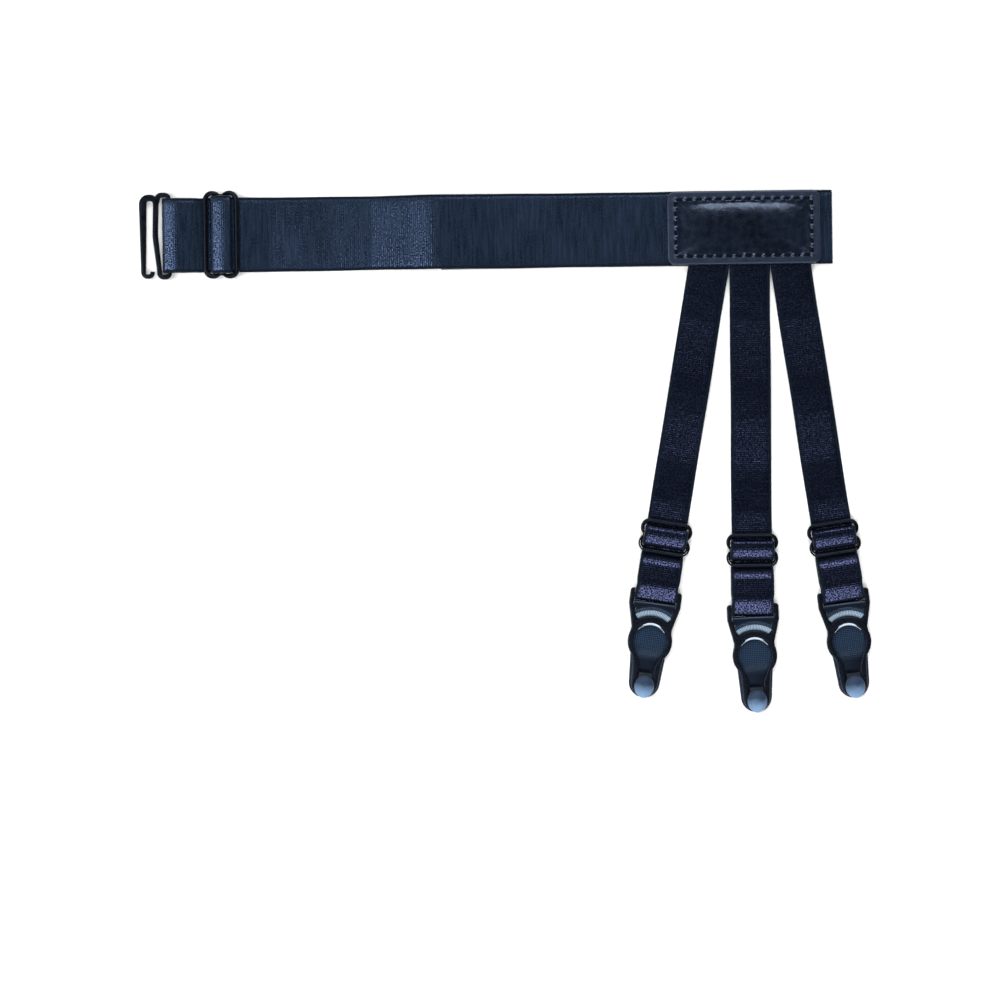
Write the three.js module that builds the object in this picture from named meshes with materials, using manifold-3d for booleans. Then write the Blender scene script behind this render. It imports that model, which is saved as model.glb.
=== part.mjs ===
// A shirt stay: an elastic thigh band with a padded leather patch and three elastic straps, each with a
// wire slider and a plastic garter clip. It lies on its back, unhooked, with one end of the band folded under.
// Millimetres. +Z is up, +X runs along the band away from its hook, +Y runs from the clips to the band.
import * as THREE from "three";
import { mergeVertices } from "three/addons/utils/BufferGeometryUtils.js";
import Module from "manifold-3d";

const wasm = await Module();
wasm.setup();

// The gap left between pieces that touch or run in each other
const CLEARANCE = 0.3;

// Thigh band. Places along it are measured from the middle of the patch
const BAND_WIDTH = 38;
const BAND_THICKNESS = 1.1;
const BAND_FOLD_AT = 45.3;
const BAND_LOOP_AT = 153.8;
const BAND_LOOP_LENGTH = 16;
const BAND_SLIDER_AT = 264.7;
const BAND_HOOK_PAST_SLIDER = 26.5;
const BAND_HOOK_AT = BAND_SLIDER_AT + BAND_HOOK_PAST_SLIDER;
const BAND_HOOK_LOOP = 2.9;
const BAND_CLIMB = 48;

// Straps, side by side under the patch. Places along them are measured from the band's lower edge
const STRAP_WIDTH = 20.8;
const STRAP_THICKNESS = 1;
const STRAP_PITCH = 20.7;
const STRAPS_OFF_CENTRE = 2.9;
const STRAP_ROOT = 14;
const STRAP_BOW = 2.2;
const STRAP_LANDING = 16;
const STRAP_SLIDER_AT = 144.5;
const CLIP_PAST_SLIDER = 30.5;
const LEGS = [
  { side: "left", turn: -9.9, shorterBy: 4.9, clipNearerBy: 0.3, clipTurn: 1.5 },
  { side: "middle", turn: -0.3, shorterBy: 0, clipNearerBy: 0, clipTurn: 2.2 },
  { side: "right", turn: 8.2, shorterBy: 4.2, clipNearerBy: 0.4, clipTurn: -1.6 },
].map((leg) => {
  const sliderAt = STRAP_SLIDER_AT - leg.shorterBy;
  return { ...leg, sliderAt, clipAt: sliderAt + CLIP_PAST_SLIDER - leg.clipNearerBy };
});

// Wire sliders: two long loops side by side that share a middle bar
const SLIDER_SIDE_ROOM = 0.8;
const SLIDER_ROUND = 0.25;
const SLIDER_CORNER = 1.6;
const SLIDER_NOTCH = 1.6;
const BAND_SLIDER = { wire: 2.5, pitch: 8.6, overlap: 0.6, middleBar: 2 };
const STRAP_SLIDER = { wire: 2, pitch: 7.9, overlap: 0.75, middleBar: 1.8 };

// Hook at the end of the band. Its routes start from the bar in the band's loop and run away from the band.
// reach and round are shares of HOOK_REACH. past is a share of HOOK_END_ROOM, from the band's edge on that side
const HOOK_THICKNESS = 2.4;
const HOOK_ROUND = 0.5;
const HOOK_WIRE = 2.4;
const HOOK_MIDDLE = 2.8;
const HOOK_FLANGE = 3.8;
const HOOK_TIP = 2.3;
const HOOK_REACH = 13.1;
const HOOK_END_ROOM = 2;
const HOOK_OPEN_PART = [
  { reach: 0.656, side: 1, past: -0.45 },
  { reach: 0.656, side: 1, past: 0.8, round: 0.145 },
  { reach: 1, side: 1, past: 0.8, round: 0.145 },
  { reach: 1, side: -1, past: 0.15, round: 0.23 },
  { reach: 0.496, side: -1, past: 0.15, round: 0.23 },
  { reach: 0.496, side: -1, past: -2 },
];
const HOOK_MIDDLE_BAR = [
  { reach: 0.492, side: -1, past: -1 },
  { reach: 0.534, side: 0, past: 0, round: 3 },
  { reach: 0.382, side: 1, past: -0.35 },
];
const HOOK_LOOP = [
  { reach: 0.489, side: -1, past: -1.25 },
  { reach: 0.397, side: -1, past: 0.8, round: 0.153 },
  { reach: 0, side: -1, past: 0.8, round: 0.153 },
  { reach: 0, side: 1, past: 1, round: 0.153 },
  { reach: 0.378, side: 1, past: 1, round: 0.153 },
  { reach: 0.382, side: 1, past: -0.75 },
];

// Padded leather patch
const PATCH_LENGTH = 77.5;
const PATCH_BELOW_BAND_EDGE = 0.35;
const PATCH_HEIGHT = BAND_WIDTH - 2 * PATCH_BELOW_BAND_EDGE;
const PATCH_CORNER = 4.2;
const LEATHER_THICKNESS = 1.2;
const PATCH_EDGE_ROUND = 0.45;
const STITCH_INSET = 4.2;
const STITCH_CHANNEL = 1.7;
const STITCH_DEPTH = 0.5;
const PAD_CROWN = 1.5;

// Clip frame. Places along it are measured from the bar that the strap goes round
const FRAME_THICKNESS = 2.4;
const FRAME_ROUND = 0.55;
const FRAME_CORNER = 0.25;
const FRAME_SIDE_ROOM = 0.4;
const FRAME_RAIL = 2.35;
const FRAME_BAR = 2;
const FRAME_EARS = 3.2;
const EAR_CORNER = 1.6;
const SHOULDER_END = 4.7;
const NECK_AT = 16.5;
const NECK_WIDTH = 20.4;
const WINDOW_INSET = 1.2;
const RING_AT = 23;
const RING_RADIUS = 11.3;
const KEYHOLE_RADIUS = 8.4;
const ARCH_RIM = 4.4;
const SLOT_WIDTH = 7.4;
const SLOT_LENGTH = 22.8;
const LEG_WIDTH = 3;
const LEG_SETBACK = 1.4;

// Tongue that is hinged on the frame, and the button that it carries
const TONGUE_THICKNESS = 1.4;
const HINGE_AT = 6;
const HINGE_BAR = 1.8;
const BARREL_WALL = 0.8;
const TONGUE_TIP_WIDTH = 15.7;
const TIP_SETBACK = 1.9;
const BUTTON_PEG = 4;
const BUTTON_WIDTH = 10.1;
const BUTTON_LENGTH = 11.8;
const BUTTON_RISE = 2.7;
const COLLAR_WIDTH = 8.6;
const COLLAR_THICKNESS = 0.8;
const COLLAR_REACH = 6.9;

// How finely round shapes are cut up
const ARC_STEP = THREE.MathUtils.degToRad(22.5);
const CURVE_SEGMENTS = 7;
const HOLE_SEGMENTS = 4;
const BEVEL_SEGMENTS = 1;

const FINISH = {
  webbing: { color: "#1b2030", roughness: 0.7, metalness: 0 },
  leather: { color: "#10151f", roughness: 0.35, metalness: 0 },
  coatedWire: { color: "#0e1218", roughness: 0.3, metalness: 0.2 },
  plastic: { color: "#12161c", roughness: 0.35, metalness: 0 },
  tongue: { color: "#1d2a3a", roughness: 0.5, metalness: 0 },
  button: { color: "#4c6580", roughness: 0.3, metalness: 0 },
};

function piece(name, geometry, finish) {
  const mesh = new THREE.Mesh(geometry, new THREE.MeshStandardMaterial(FINISH[finish]));
  mesh.name = name;
  return mesh;
}

// A geometry as a manifold-3d solid, and back
function solid(geometry) {
  const bare = geometry.clone();
  bare.deleteAttribute("normal");
  bare.deleteAttribute("uv");
  const merged = mergeVertices(bare);
  return new wasm.Manifold(
    new wasm.Mesh({
      numProp: 3,
      vertProperties: merged.attributes.position.array,
      triVerts: new Uint32Array(merged.index.array),
    }),
  );
}

function geometryOf(manifold) {
  const { vertProperties, triVerts } = manifold.getMesh();
  const geometry = new THREE.BufferGeometry();
  geometry.setAttribute("position", new THREE.BufferAttribute(vertProperties, 3));
  geometry.setIndex(new THREE.BufferAttribute(triVerts, 1));
  const flat = geometry.toNonIndexed();
  flat.computeVertexNormals();
  return flat;
}

// A plate of the given thickness, its middle at height 0, with its edges rounded inside the outline
function roundedPlate(shape, thickness, round) {
  const plate = new THREE.ExtrudeGeometry(shape, {
    depth: thickness - 2 * round,
    bevelThickness: round,
    bevelSize: round,
    bevelOffset: -round,
    bevelSegments: BEVEL_SEGMENTS,
    curveSegments: CURVE_SEGMENTS,
  });
  return plate.translate(0, 0, round - thickness / 2);
}

// How far a rounded bar reaches from its centre line, corners included
function barReach(width, thickness, round) {
  return Math.max(
    Math.hypot(width / 2, thickness / 2 - round),
    Math.hypot(width / 2 - round, thickness / 2),
  );
}

// Points along a route of straight stretches. A row is a corner, with the radius that rounds it
function roundedRoute(rows) {
  const corners = rows.map((row) => new THREE.Vector2(row.at, row.up));
  return corners.flatMap((corner, i) => {
    const round = rows[i].round ?? 0;
    if (!round || i === 0 || i === rows.length - 1) return [corner];
    const back = corners[i - 1].clone().sub(corner).normalize();
    const ahead = corners[i + 1].clone().sub(corner).normalize();
    const turn = Math.PI - back.angleTo(ahead);
    const run = round * Math.tan(turn / 2);
    const towards = back.clone().add(ahead).normalize();
    const centre = towards.multiplyScalar(round / Math.cos(turn / 2)).add(corner);
    const start = back.multiplyScalar(run).add(corner).sub(centre);
    const side = Math.sign(start.cross(ahead.clone().multiplyScalar(run).add(corner).sub(centre)));
    const steps = Math.max(2, Math.ceil(turn / ARC_STEP));
    return Array.from({ length: steps + 1 }, (_, n) =>
      start.clone().rotateAround(new THREE.Vector2(), (side * turn * n) / steps).add(centre),
    );
  });
}

// The direction across a route at each of its points, long enough to keep a strip's thickness at a corner
function crossings(points) {
  return points.map((point, i) => {
    const ends = [points[i - 1] ?? point, point, points[i + 1] ?? point];
    const runs = [ends[1].clone().sub(ends[0]), ends[2].clone().sub(ends[1])];
    const sides = runs.filter((run) => run.length() > 1e-9).map((run) => run.normalize());
    const normals = sides.map((run) => new THREE.Vector2(-run.y, run.x));
    const mean = normals.reduce((sum, normal) => sum.add(normal), new THREE.Vector2()).normalize();
    return mean.multiplyScalar(1 / Math.max(0.5, mean.dot(new THREE.Vector2(-sides[0].y, sides[0].x))));
  });
}

// A flat woven strip that follows a route seen from its side. halfWidths gives its reach to either side
function webbing(rows, thickness, halfWidths) {
  const route = roundedRoute(rows);
  const across = crossings(route);
  const vertices = route.flatMap((point, i) => {
    const [low, high] = halfWidths(point.x);
    const over = across[i].multiplyScalar(thickness / 2);
    const [top, bottom] = [point.clone().add(over), point.clone().sub(over)];
    return [
      [bottom.x, -low, bottom.y],
      [bottom.x, high, bottom.y],
      [top.x, high, top.y],
      [top.x, -low, top.y],
    ].flat();
  });
  const ring = [0, 1, 2, 3];
  const quads = route.slice(1).flatMap((_, i) =>
    ring.map((n) => {
      const next = (n + 1) % 4;
      return [4 * i + n, 4 * i + 4 + n, 4 * i + 4 + next, 4 * i + next];
    }),
  );
  const last = 4 * (route.length - 1);
  quads.push([0, 1, 2, 3], [last + 3, last + 2, last + 1, last]);
  const geometry = new THREE.BufferGeometry();
  geometry.setAttribute("position", new THREE.Float32BufferAttribute(vertices, 3));
  geometry.setIndex(quads.flatMap(([a, b, c, d]) => [c, b, a, d, c, a]));
  const flat = geometry.toNonIndexed();
  flat.computeVertexNormals();
  return flat;
}

// The middle height of a layer of webbing that lies on so many others
function layer(thickness, below) {
  return thickness / 2 + below * (thickness + CLEARANCE);
}

// Sizes that a slider gives to what passes through it
function sliderSizes({ wire, pitch, overlap, middleBar }, webThickness) {
  const holeEnd = pitch + overlap - wire;
  const round = wire * SLIDER_ROUND;
  const under = layer(webThickness, 1);
  return {
    holeHalf: (holeEnd - middleBar / 2) / 2,
    holeAt: (holeEnd + middleBar / 2) / 2,
    outerBarAt: holeEnd + wire / 2,
    height: under + webThickness / 2 + CLEARANCE + wire / 2,
    wrap: barReach(middleBar, wire, round) + CLEARANCE + webThickness / 2,
  };
}

// One of a slider's two holes. Its outer corners follow the wire, and those by the middle bar are tighter
function sliderHole({ wire, pitch, overlap, middleBar }, half) {
  const wide = { at: pitch / 2, round: pitch / 2 + overlap - wire };
  const tight = { at: middleBar / 2 + SLIDER_CORNER, round: SLIDER_CORNER };
  const hole = new THREE.Path();
  hole.absarc(wide.at, half - wire - wide.round, wide.round, 0, Math.PI / 2, false);
  hole.absarc(tight.at, half - wire - tight.round, tight.round, Math.PI / 2, Math.PI, false);
  hole.absarc(tight.at, wire + tight.round - half, tight.round, Math.PI, 1.5 * Math.PI, false);
  hole.absarc(wide.at, wire + wide.round - half, wide.round, 1.5 * Math.PI, 2 * Math.PI, false);
  return hole;
}

// A slider, with its length along X and the webbing's width along Y
function sliderGeometry(slider, webWidth, webThickness) {
  const { wire, pitch, overlap } = slider;
  const lobe = pitch / 2 + overlap;
  const half = webWidth / 2 + SLIDER_SIDE_ROOM + wire;
  const end = half - lobe;
  const meet = Math.asin(1 - SLIDER_NOTCH / lobe);
  const outline = new THREE.Shape();
  outline.absarc(pitch / 2, end, lobe, 0, Math.PI - meet, false);
  outline.absarc(-pitch / 2, end, lobe, meet, Math.PI, false);
  outline.absarc(-pitch / 2, -end, lobe, Math.PI, 2 * Math.PI - meet, false);
  outline.absarc(pitch / 2, -end, lobe, Math.PI + meet, 2 * Math.PI, false);
  const hole = sliderHole(slider, half).getPoints(HOLE_SEGMENTS);
  const mirrored = hole.map((point) => new THREE.Vector2(-point.x, point.y)).reverse();
  outline.holes.push(new THREE.Path(hole), new THREE.Path(mirrored));
  return roundedPlate(outline, wire, wire * SLIDER_ROUND);
}

// The rows of webbing that goes through a slider, round an end bar and back to the slider's middle bar
function adjusterRows({ slider, thickness, sliderAt, endAt, endWrap, endLoop }) {
  const { holeAt, holeHalf, outerBarAt, height, wrap } = sliderSizes(slider, thickness);
  const under = layer(thickness, 1);
  const floor = layer(thickness, 0);
  const crest = height + wrap + thickness + CLEARANCE;
  const foot = holeAt + holeHalf * 0.43;
  const crown = holeAt - holeHalf * 0.13;
  const top = floor + 2 * endWrap;
  const lead = outerBarAt + slider.wire;
  const [tight, soft, long] = [thickness, 2 * thickness, 8 * thickness];
  return [
    { at: sliderAt - lead, up: under, round: long },
    { at: sliderAt - foot, up: under, round: tight },
    { at: sliderAt - crown, up: crest, round: soft },
    { at: sliderAt + crown, up: crest, round: soft },
    { at: sliderAt + foot, up: under, round: tight },
    { at: sliderAt + lead, up: under, round: long },
    { at: endAt - endWrap, up: top, round: long },
    { at: endAt + endLoop, up: top, round: endWrap },
    { at: endAt + endLoop, up: floor, round: endWrap },
    { at: sliderAt + holeAt, up: floor, round: soft },
    { at: sliderAt + wrap * 0.8, up: height - wrap, round: tight },
    { at: sliderAt - wrap, up: height - wrap, round: wrap },
    { at: sliderAt - wrap, up: height + wrap, round: wrap },
    { at: sliderAt + wrap, up: height + wrap, round: wrap },
    { at: sliderAt + wrap, up: height - wrap / 2 },
  ];
}

// The band, from the sewn loop at its far end, along its back, round the fold and along its front to the hook
function bandRows(hookWrap) {
  const level = (below) => layer(BAND_THICKNESS, below);
  const fold = (BAND_THICKNESS + CLEARANCE) / 2;
  const edge = BAND_THICKNESS / 2;
  const loopStart = BAND_LOOP_AT - BAND_LOOP_LENGTH;
  return [
    { at: loopStart, up: level(1) },
    { at: BAND_LOOP_AT - edge, up: level(1), round: fold },
    { at: BAND_LOOP_AT - edge, up: level(0), round: fold },
    { at: edge - BAND_FOLD_AT, up: level(0), round: fold },
    { at: edge - BAND_FOLD_AT, up: level(1), round: fold },
    { at: loopStart - BAND_CLIMB / 4, up: level(1), round: BAND_CLIMB / 2 },
    { at: loopStart - 2 * BAND_THICKNESS, up: level(2), round: BAND_CLIMB / 2 },
    { at: BAND_LOOP_AT + 2 * BAND_THICKNESS, up: level(2), round: BAND_CLIMB },
    { at: BAND_LOOP_AT + BAND_CLIMB, up: level(0), round: 2 * BAND_CLIMB },
    { at: BAND_SLIDER_AT - BAND_CLIMB / 2, up: level(0), round: BAND_CLIMB },
    ...adjusterRows({
      slider: BAND_SLIDER,
      thickness: BAND_THICKNESS,
      sliderAt: BAND_SLIDER_AT,
      endAt: BAND_HOOK_AT,
      endWrap: hookWrap,
      endLoop: BAND_HOOK_LOOP,
    }),
  ];
}

// A plate of changing width along a route. The widths are spread evenly along it
function ribbon(rows, widths) {
  const points = roundedRoute(rows);
  const across = crossings(points);
  const steps = points.map((point, i) => (i ? point.distanceTo(points[i - 1]) : 0));
  const whole = steps.reduce((sum, step) => sum + step, 0);
  let gone = 0;
  const edges = points.map((point, i) => {
    gone += steps[i];
    const place = (gone / whole) * (widths.length - 1);
    const before = Math.min(Math.floor(place), widths.length - 2);
    const width = THREE.MathUtils.lerp(widths[before], widths[before + 1], place - before);
    const side = across[i].clone().multiplyScalar(width / 2);
    return [point.clone().add(side), point.clone().sub(side)];
  });
  const outline = [...edges.map((pair) => pair[0]), ...edges.map((pair) => pair[1]).reverse()];
  return roundedPlate(new THREE.Shape(outline), HOOK_THICKNESS, HOOK_ROUND);
}

function hookRoute(rows) {
  return rows.map(({ reach, side, past, round = 0 }) => ({
    at: reach * HOOK_REACH,
    up: side * (BAND_WIDTH / 2 + past * HOOK_END_ROOM),
    round: round * HOOK_REACH,
  }));
}

// The hook: a closed loop that the band goes round, with an open hook beyond it. X runs away from the band
function hookGeometry() {
  const flange = Array(5).fill(HOOK_FLANGE);
  const open = ribbon(hookRoute(HOOK_OPEN_PART), [HOOK_TIP, HOOK_TIP, ...flange, HOOK_FLANGE * 0.8, HOOK_MIDDLE]);
  const middle = ribbon(hookRoute(HOOK_MIDDLE_BAR), [HOOK_MIDDLE, HOOK_MIDDLE, HOOK_MIDDLE, HOOK_WIRE]);
  const loop = ribbon(hookRoute(HOOK_LOOP), [HOOK_MIDDLE, ...Array(7).fill(HOOK_WIRE)]);
  return geometryOf(solid(open).add(solid(middle)).add(solid(loop)));
}

function bandAssembly() {
  const group = new THREE.Group();
  const hookWrap = barReach(HOOK_WIRE, HOOK_THICKNESS, HOOK_ROUND) + CLEARANCE + BAND_THICKNESS / 2;
  const half = BAND_WIDTH / 2;
  const band = webbing(bandRows(hookWrap), BAND_THICKNESS, () => [half, half]);
  const slider = piece("band_slider", sliderGeometry(BAND_SLIDER, BAND_WIDTH, BAND_THICKNESS), "coatedWire");
  slider.position.set(BAND_SLIDER_AT, 0, sliderSizes(BAND_SLIDER, BAND_THICKNESS).height);
  const hook = piece("band_hook", hookGeometry(), "coatedWire");
  hook.position.set(BAND_HOOK_AT, 0, layer(BAND_THICKNESS, 0) + hookWrap);
  group.add(piece("thigh_band", band, "webbing"), slider, hook);
  group.rotation.z = Math.PI;
  return group;
}

// A rectangle with round corners, centred on the origin
function roundedRectangle(length, height, radius) {
  const [x, y] = [length / 2 - radius, height / 2 - radius];
  const shape = new THREE.Shape();
  shape.absarc(x, y, radius, 0, Math.PI / 2, false);
  shape.absarc(-x, y, radius, Math.PI / 2, Math.PI, false);
  shape.absarc(-x, -y, radius, Math.PI, 1.5 * Math.PI, false);
  shape.absarc(x, -y, radius, 1.5 * Math.PI, 2 * Math.PI, false);
  return shape;
}

// The patch lies on the band's front layer, with a recess below for the roots of the straps
function patchGeometry() {
  const bottom = layer(BAND_THICKNESS, 1) + BAND_THICKNESS / 2 + CLEARANCE;
  const recess = STRAP_THICKNESS + CLEARANCE;
  const thickness = recess + LEATHER_THICKNESS;
  const outline = roundedRectangle(PATCH_LENGTH, PATCH_HEIGHT, PATCH_CORNER);
  const border = solid(roundedPlate(outline, thickness, PATCH_EDGE_ROUND));

  const channelOf = (inset) =>
    roundedRectangle(PATCH_LENGTH - 2 * inset, PATCH_HEIGHT - 2 * inset, STITCH_CHANNEL);
  const ring = channelOf(STITCH_INSET - STITCH_CHANNEL / 2);
  ring.holes.push(channelOf(STITCH_INSET + STITCH_CHANNEL / 2));
  const channel = new THREE.ExtrudeGeometry(ring, { depth: 2 * STITCH_DEPTH, bevelEnabled: false, curveSegments: 2 });
  channel.translate(0, 0, thickness / 2 - STITCH_DEPTH);

  const padLength = PATCH_LENGTH - 2 * STITCH_INSET - STITCH_CHANNEL;
  const padHeight = PATCH_HEIGHT - 2 * STITCH_INSET - STITCH_CHANNEL;
  const pad = new THREE.BoxGeometry(padLength, padHeight, LEATHER_THICKNESS, 16, 8, 1);
  const places = pad.attributes.position;
  for (let i = 0; i < places.count; i++) {
    if (places.getZ(i) < 0) continue;
    const along = Math.abs((2 * places.getX(i)) / padLength);
    const over = Math.abs((2 * places.getY(i)) / padHeight);
    const crown = (1 - along ** 6) * (1 - over ** 2.5);
    places.setZ(i, LEATHER_THICKNESS / 2 - STITCH_DEPTH * 0.6 + (PAD_CROWN + STITCH_DEPTH) * crown);
  }
  pad.translate(0, 0, thickness / 2 - LEATHER_THICKNESS / 2);

  const roots = 3 * STRAP_PITCH + 2 * CLEARANCE;
  const slant = Math.sin(THREE.MathUtils.degToRad(Math.max(...LEGS.map((leg) => Math.abs(leg.turn)))));
  const reach = STRAP_ROOT + (STRAP_WIDTH / 2) * slant + CLEARANCE;
  const notch = new THREE.BoxGeometry(roots, 2 * reach, 2 * recess);
  notch.translate(STRAPS_OFF_CENTRE, -BAND_WIDTH / 2, -thickness / 2);

  const patch = border.subtract(solid(channel)).add(solid(pad)).subtract(solid(notch));
  return geometryOf(patch).translate(0, 0, bottom + thickness / 2);
}

// Heights in a clip that lies on its tongue
const FRAME_HEIGHT = TONGUE_THICKNESS + CLEARANCE + FRAME_THICKNESS / 2;
const BARREL_HOLE = barReach(HINGE_BAR, FRAME_THICKNESS, FRAME_ROUND) + CLEARANCE;
const BARREL_RADIUS = BARREL_HOLE + BARREL_WALL;
const WINDOW_SLANT = HINGE_AT + BARREL_RADIUS + CLEARANCE;
const BUTTON_AT = RING_AT + SLOT_LENGTH;

// The clip's frame: ears and a bar for the strap, a hinge bar, a window, and a keyhole for the button
function frameGeometry() {
  const inner = STRAP_WIDTH / 2 + FRAME_SIDE_ROOM;
  const outer = inner + FRAME_RAIL;
  const legTop = { at: RING_AT + RING_RADIUS * 0.95, over: SLOT_WIDTH / 2 + LEG_WIDTH * 1.2 };
  const legEnd = RING_AT + SLOT_LENGTH;
  const legReach = SLOT_WIDTH / 2 + LEG_WIDTH;
  const upper = THREE.MathUtils.degToRad(113);
  const lower = THREE.MathUtils.degToRad(45);

  const outline = new THREE.Shape();
  outline.moveTo(-FRAME_EARS, inner);
  outline.lineTo(-FRAME_BAR / 2, inner);
  outline.lineTo(-FRAME_BAR / 2, -inner);
  outline.lineTo(-FRAME_EARS, -inner);
  outline.absarc(EAR_CORNER - FRAME_EARS, EAR_CORNER - outer, EAR_CORNER, Math.PI, 1.5 * Math.PI, false);
  outline.lineTo(SHOULDER_END, -outer);
  outline.lineTo(NECK_AT, -NECK_WIDTH / 2);
  outline.absarc(RING_AT, 0, RING_RADIUS, -upper, -lower, false);
  outline.lineTo(legTop.at, -legTop.over);
  outline.absarc(legEnd - LEG_SETBACK, 0, legReach, -Math.PI / 2, Math.PI / 2, false);
  outline.lineTo(legTop.at, legTop.over);
  outline.absarc(RING_AT, 0, RING_RADIUS, lower, upper, false);
  outline.lineTo(NECK_AT, NECK_WIDTH / 2);
  outline.lineTo(SHOULDER_END, outer);
  outline.absarc(EAR_CORNER - FRAME_EARS, outer - EAR_CORNER, EAR_CORNER, Math.PI / 2, Math.PI, false);

  const cut = inner - FRAME_CORNER;
  const [slotStart, slotEnd] = [FRAME_BAR / 2, HINGE_AT - HINGE_BAR / 2];
  const slot = new THREE.Path();
  slot.moveTo(slotStart, -cut);
  slot.lineTo(slotStart, cut);
  slot.lineTo(slotStart + FRAME_CORNER, inner);
  slot.lineTo(slotEnd - FRAME_CORNER, inner);
  slot.lineTo(slotEnd, cut);
  slot.lineTo(slotEnd, -cut);
  slot.lineTo(slotEnd - FRAME_CORNER, -inner);
  slot.lineTo(slotStart + FRAME_CORNER, -inner);

  const arch = KEYHOLE_RADIUS + ARCH_RIM;
  const archSide = Math.asin((inner * 0.74) / arch);
  const windowStart = HINGE_AT + HINGE_BAR / 2;
  const windowHalf = inner - WINDOW_INSET;
  const window = new THREE.Path();
  window.moveTo(windowStart, FRAME_CORNER - windowHalf);
  window.lineTo(windowStart, windowHalf - FRAME_CORNER);
  window.lineTo(WINDOW_SLANT, windowHalf);
  window.absarc(RING_AT, 0, arch, Math.PI - archSide, Math.PI + archSide, false);
  window.lineTo(WINDOW_SLANT, -windowHalf);

  const flare = THREE.MathUtils.degToRad(22);
  const run = (KEYHOLE_RADIUS * Math.cos(flare) - SLOT_WIDTH / 2) / Math.sin(flare);
  const throat = RING_AT + KEYHOLE_RADIUS * Math.sin(flare) + run * Math.cos(flare);
  const keyhole = new THREE.Path();
  keyhole.absarc(RING_AT, 0, KEYHOLE_RADIUS, Math.PI / 2 - flare, 1.5 * Math.PI + flare, false);
  keyhole.lineTo(throat, -SLOT_WIDTH / 2);
  keyhole.absarc(legEnd, 0, SLOT_WIDTH / 2, -Math.PI / 2, Math.PI / 2, false);
  keyhole.lineTo(throat, SLOT_WIDTH / 2);

  outline.holes.push(slot, window, keyhole);
  return roundedPlate(outline, FRAME_THICKNESS, FRAME_ROUND);
}

// The tongue: a barrel round the hinge bar, and a plate below the frame that ends in a half circle
function tongueGeometry() {
  const half = STRAP_WIDTH / 2 + FRAME_SIDE_ROOM - WINDOW_INSET - CLEARANCE;
  const tip = TONGUE_TIP_WIDTH / 2;
  const archTop = RING_AT - KEYHOLE_RADIUS - ARCH_RIM;
  const barrelEnd = HINGE_AT + BARREL_RADIUS;

  const side = new THREE.Shape();
  side.moveTo(archTop, 0);
  side.lineTo(archTop, TONGUE_THICKNESS);
  side.lineTo(WINDOW_SLANT + CLEARANCE, TONGUE_THICKNESS);
  side.lineTo(barrelEnd, FRAME_HEIGHT);
  side.absarc(HINGE_AT, FRAME_HEIGHT, BARREL_RADIUS, 0, THREE.MathUtils.degToRad(290), false);
  const head = new THREE.ExtrudeGeometry(side, { depth: 2 * half, bevelEnabled: false, curveSegments: 16 });
  head.rotateX(Math.PI / 2).translate(0, half, 0);

  const outline = new THREE.Shape();
  outline.moveTo(archTop - CLEARANCE, -half);
  outline.lineTo(NECK_AT, -half * 0.97);
  outline.lineTo(RING_AT + RING_RADIUS * 0.6, -(tip + half) * 0.52);
  outline.absarc(BUTTON_AT - TIP_SETBACK, 0, tip, -Math.PI / 2, Math.PI / 2, false);
  outline.lineTo(RING_AT + RING_RADIUS * 0.6, (tip + half) * 0.52);
  outline.lineTo(NECK_AT, half * 0.97);
  outline.lineTo(archTop - CLEARANCE, half);
  const plate = new THREE.ExtrudeGeometry(outline, {
    depth: TONGUE_THICKNESS,
    bevelEnabled: false,
    curveSegments: 16,
  });

  const bore = new THREE.CylinderGeometry(BARREL_HOLE, BARREL_HOLE, 3 * half, 16);
  bore.translate(HINGE_AT, 0, FRAME_HEIGHT);
  const pegRoom = BUTTON_PEG / 2 + CLEARANCE;
  const pegHole = new THREE.CylinderGeometry(pegRoom, pegRoom, 6 * TONGUE_THICKNESS, 16);
  pegHole.rotateX(Math.PI / 2).translate(BUTTON_AT, 0, 0);
  return geometryOf(solid(head).add(solid(plate)).subtract(solid(bore)).subtract(solid(pegHole)));
}

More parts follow.
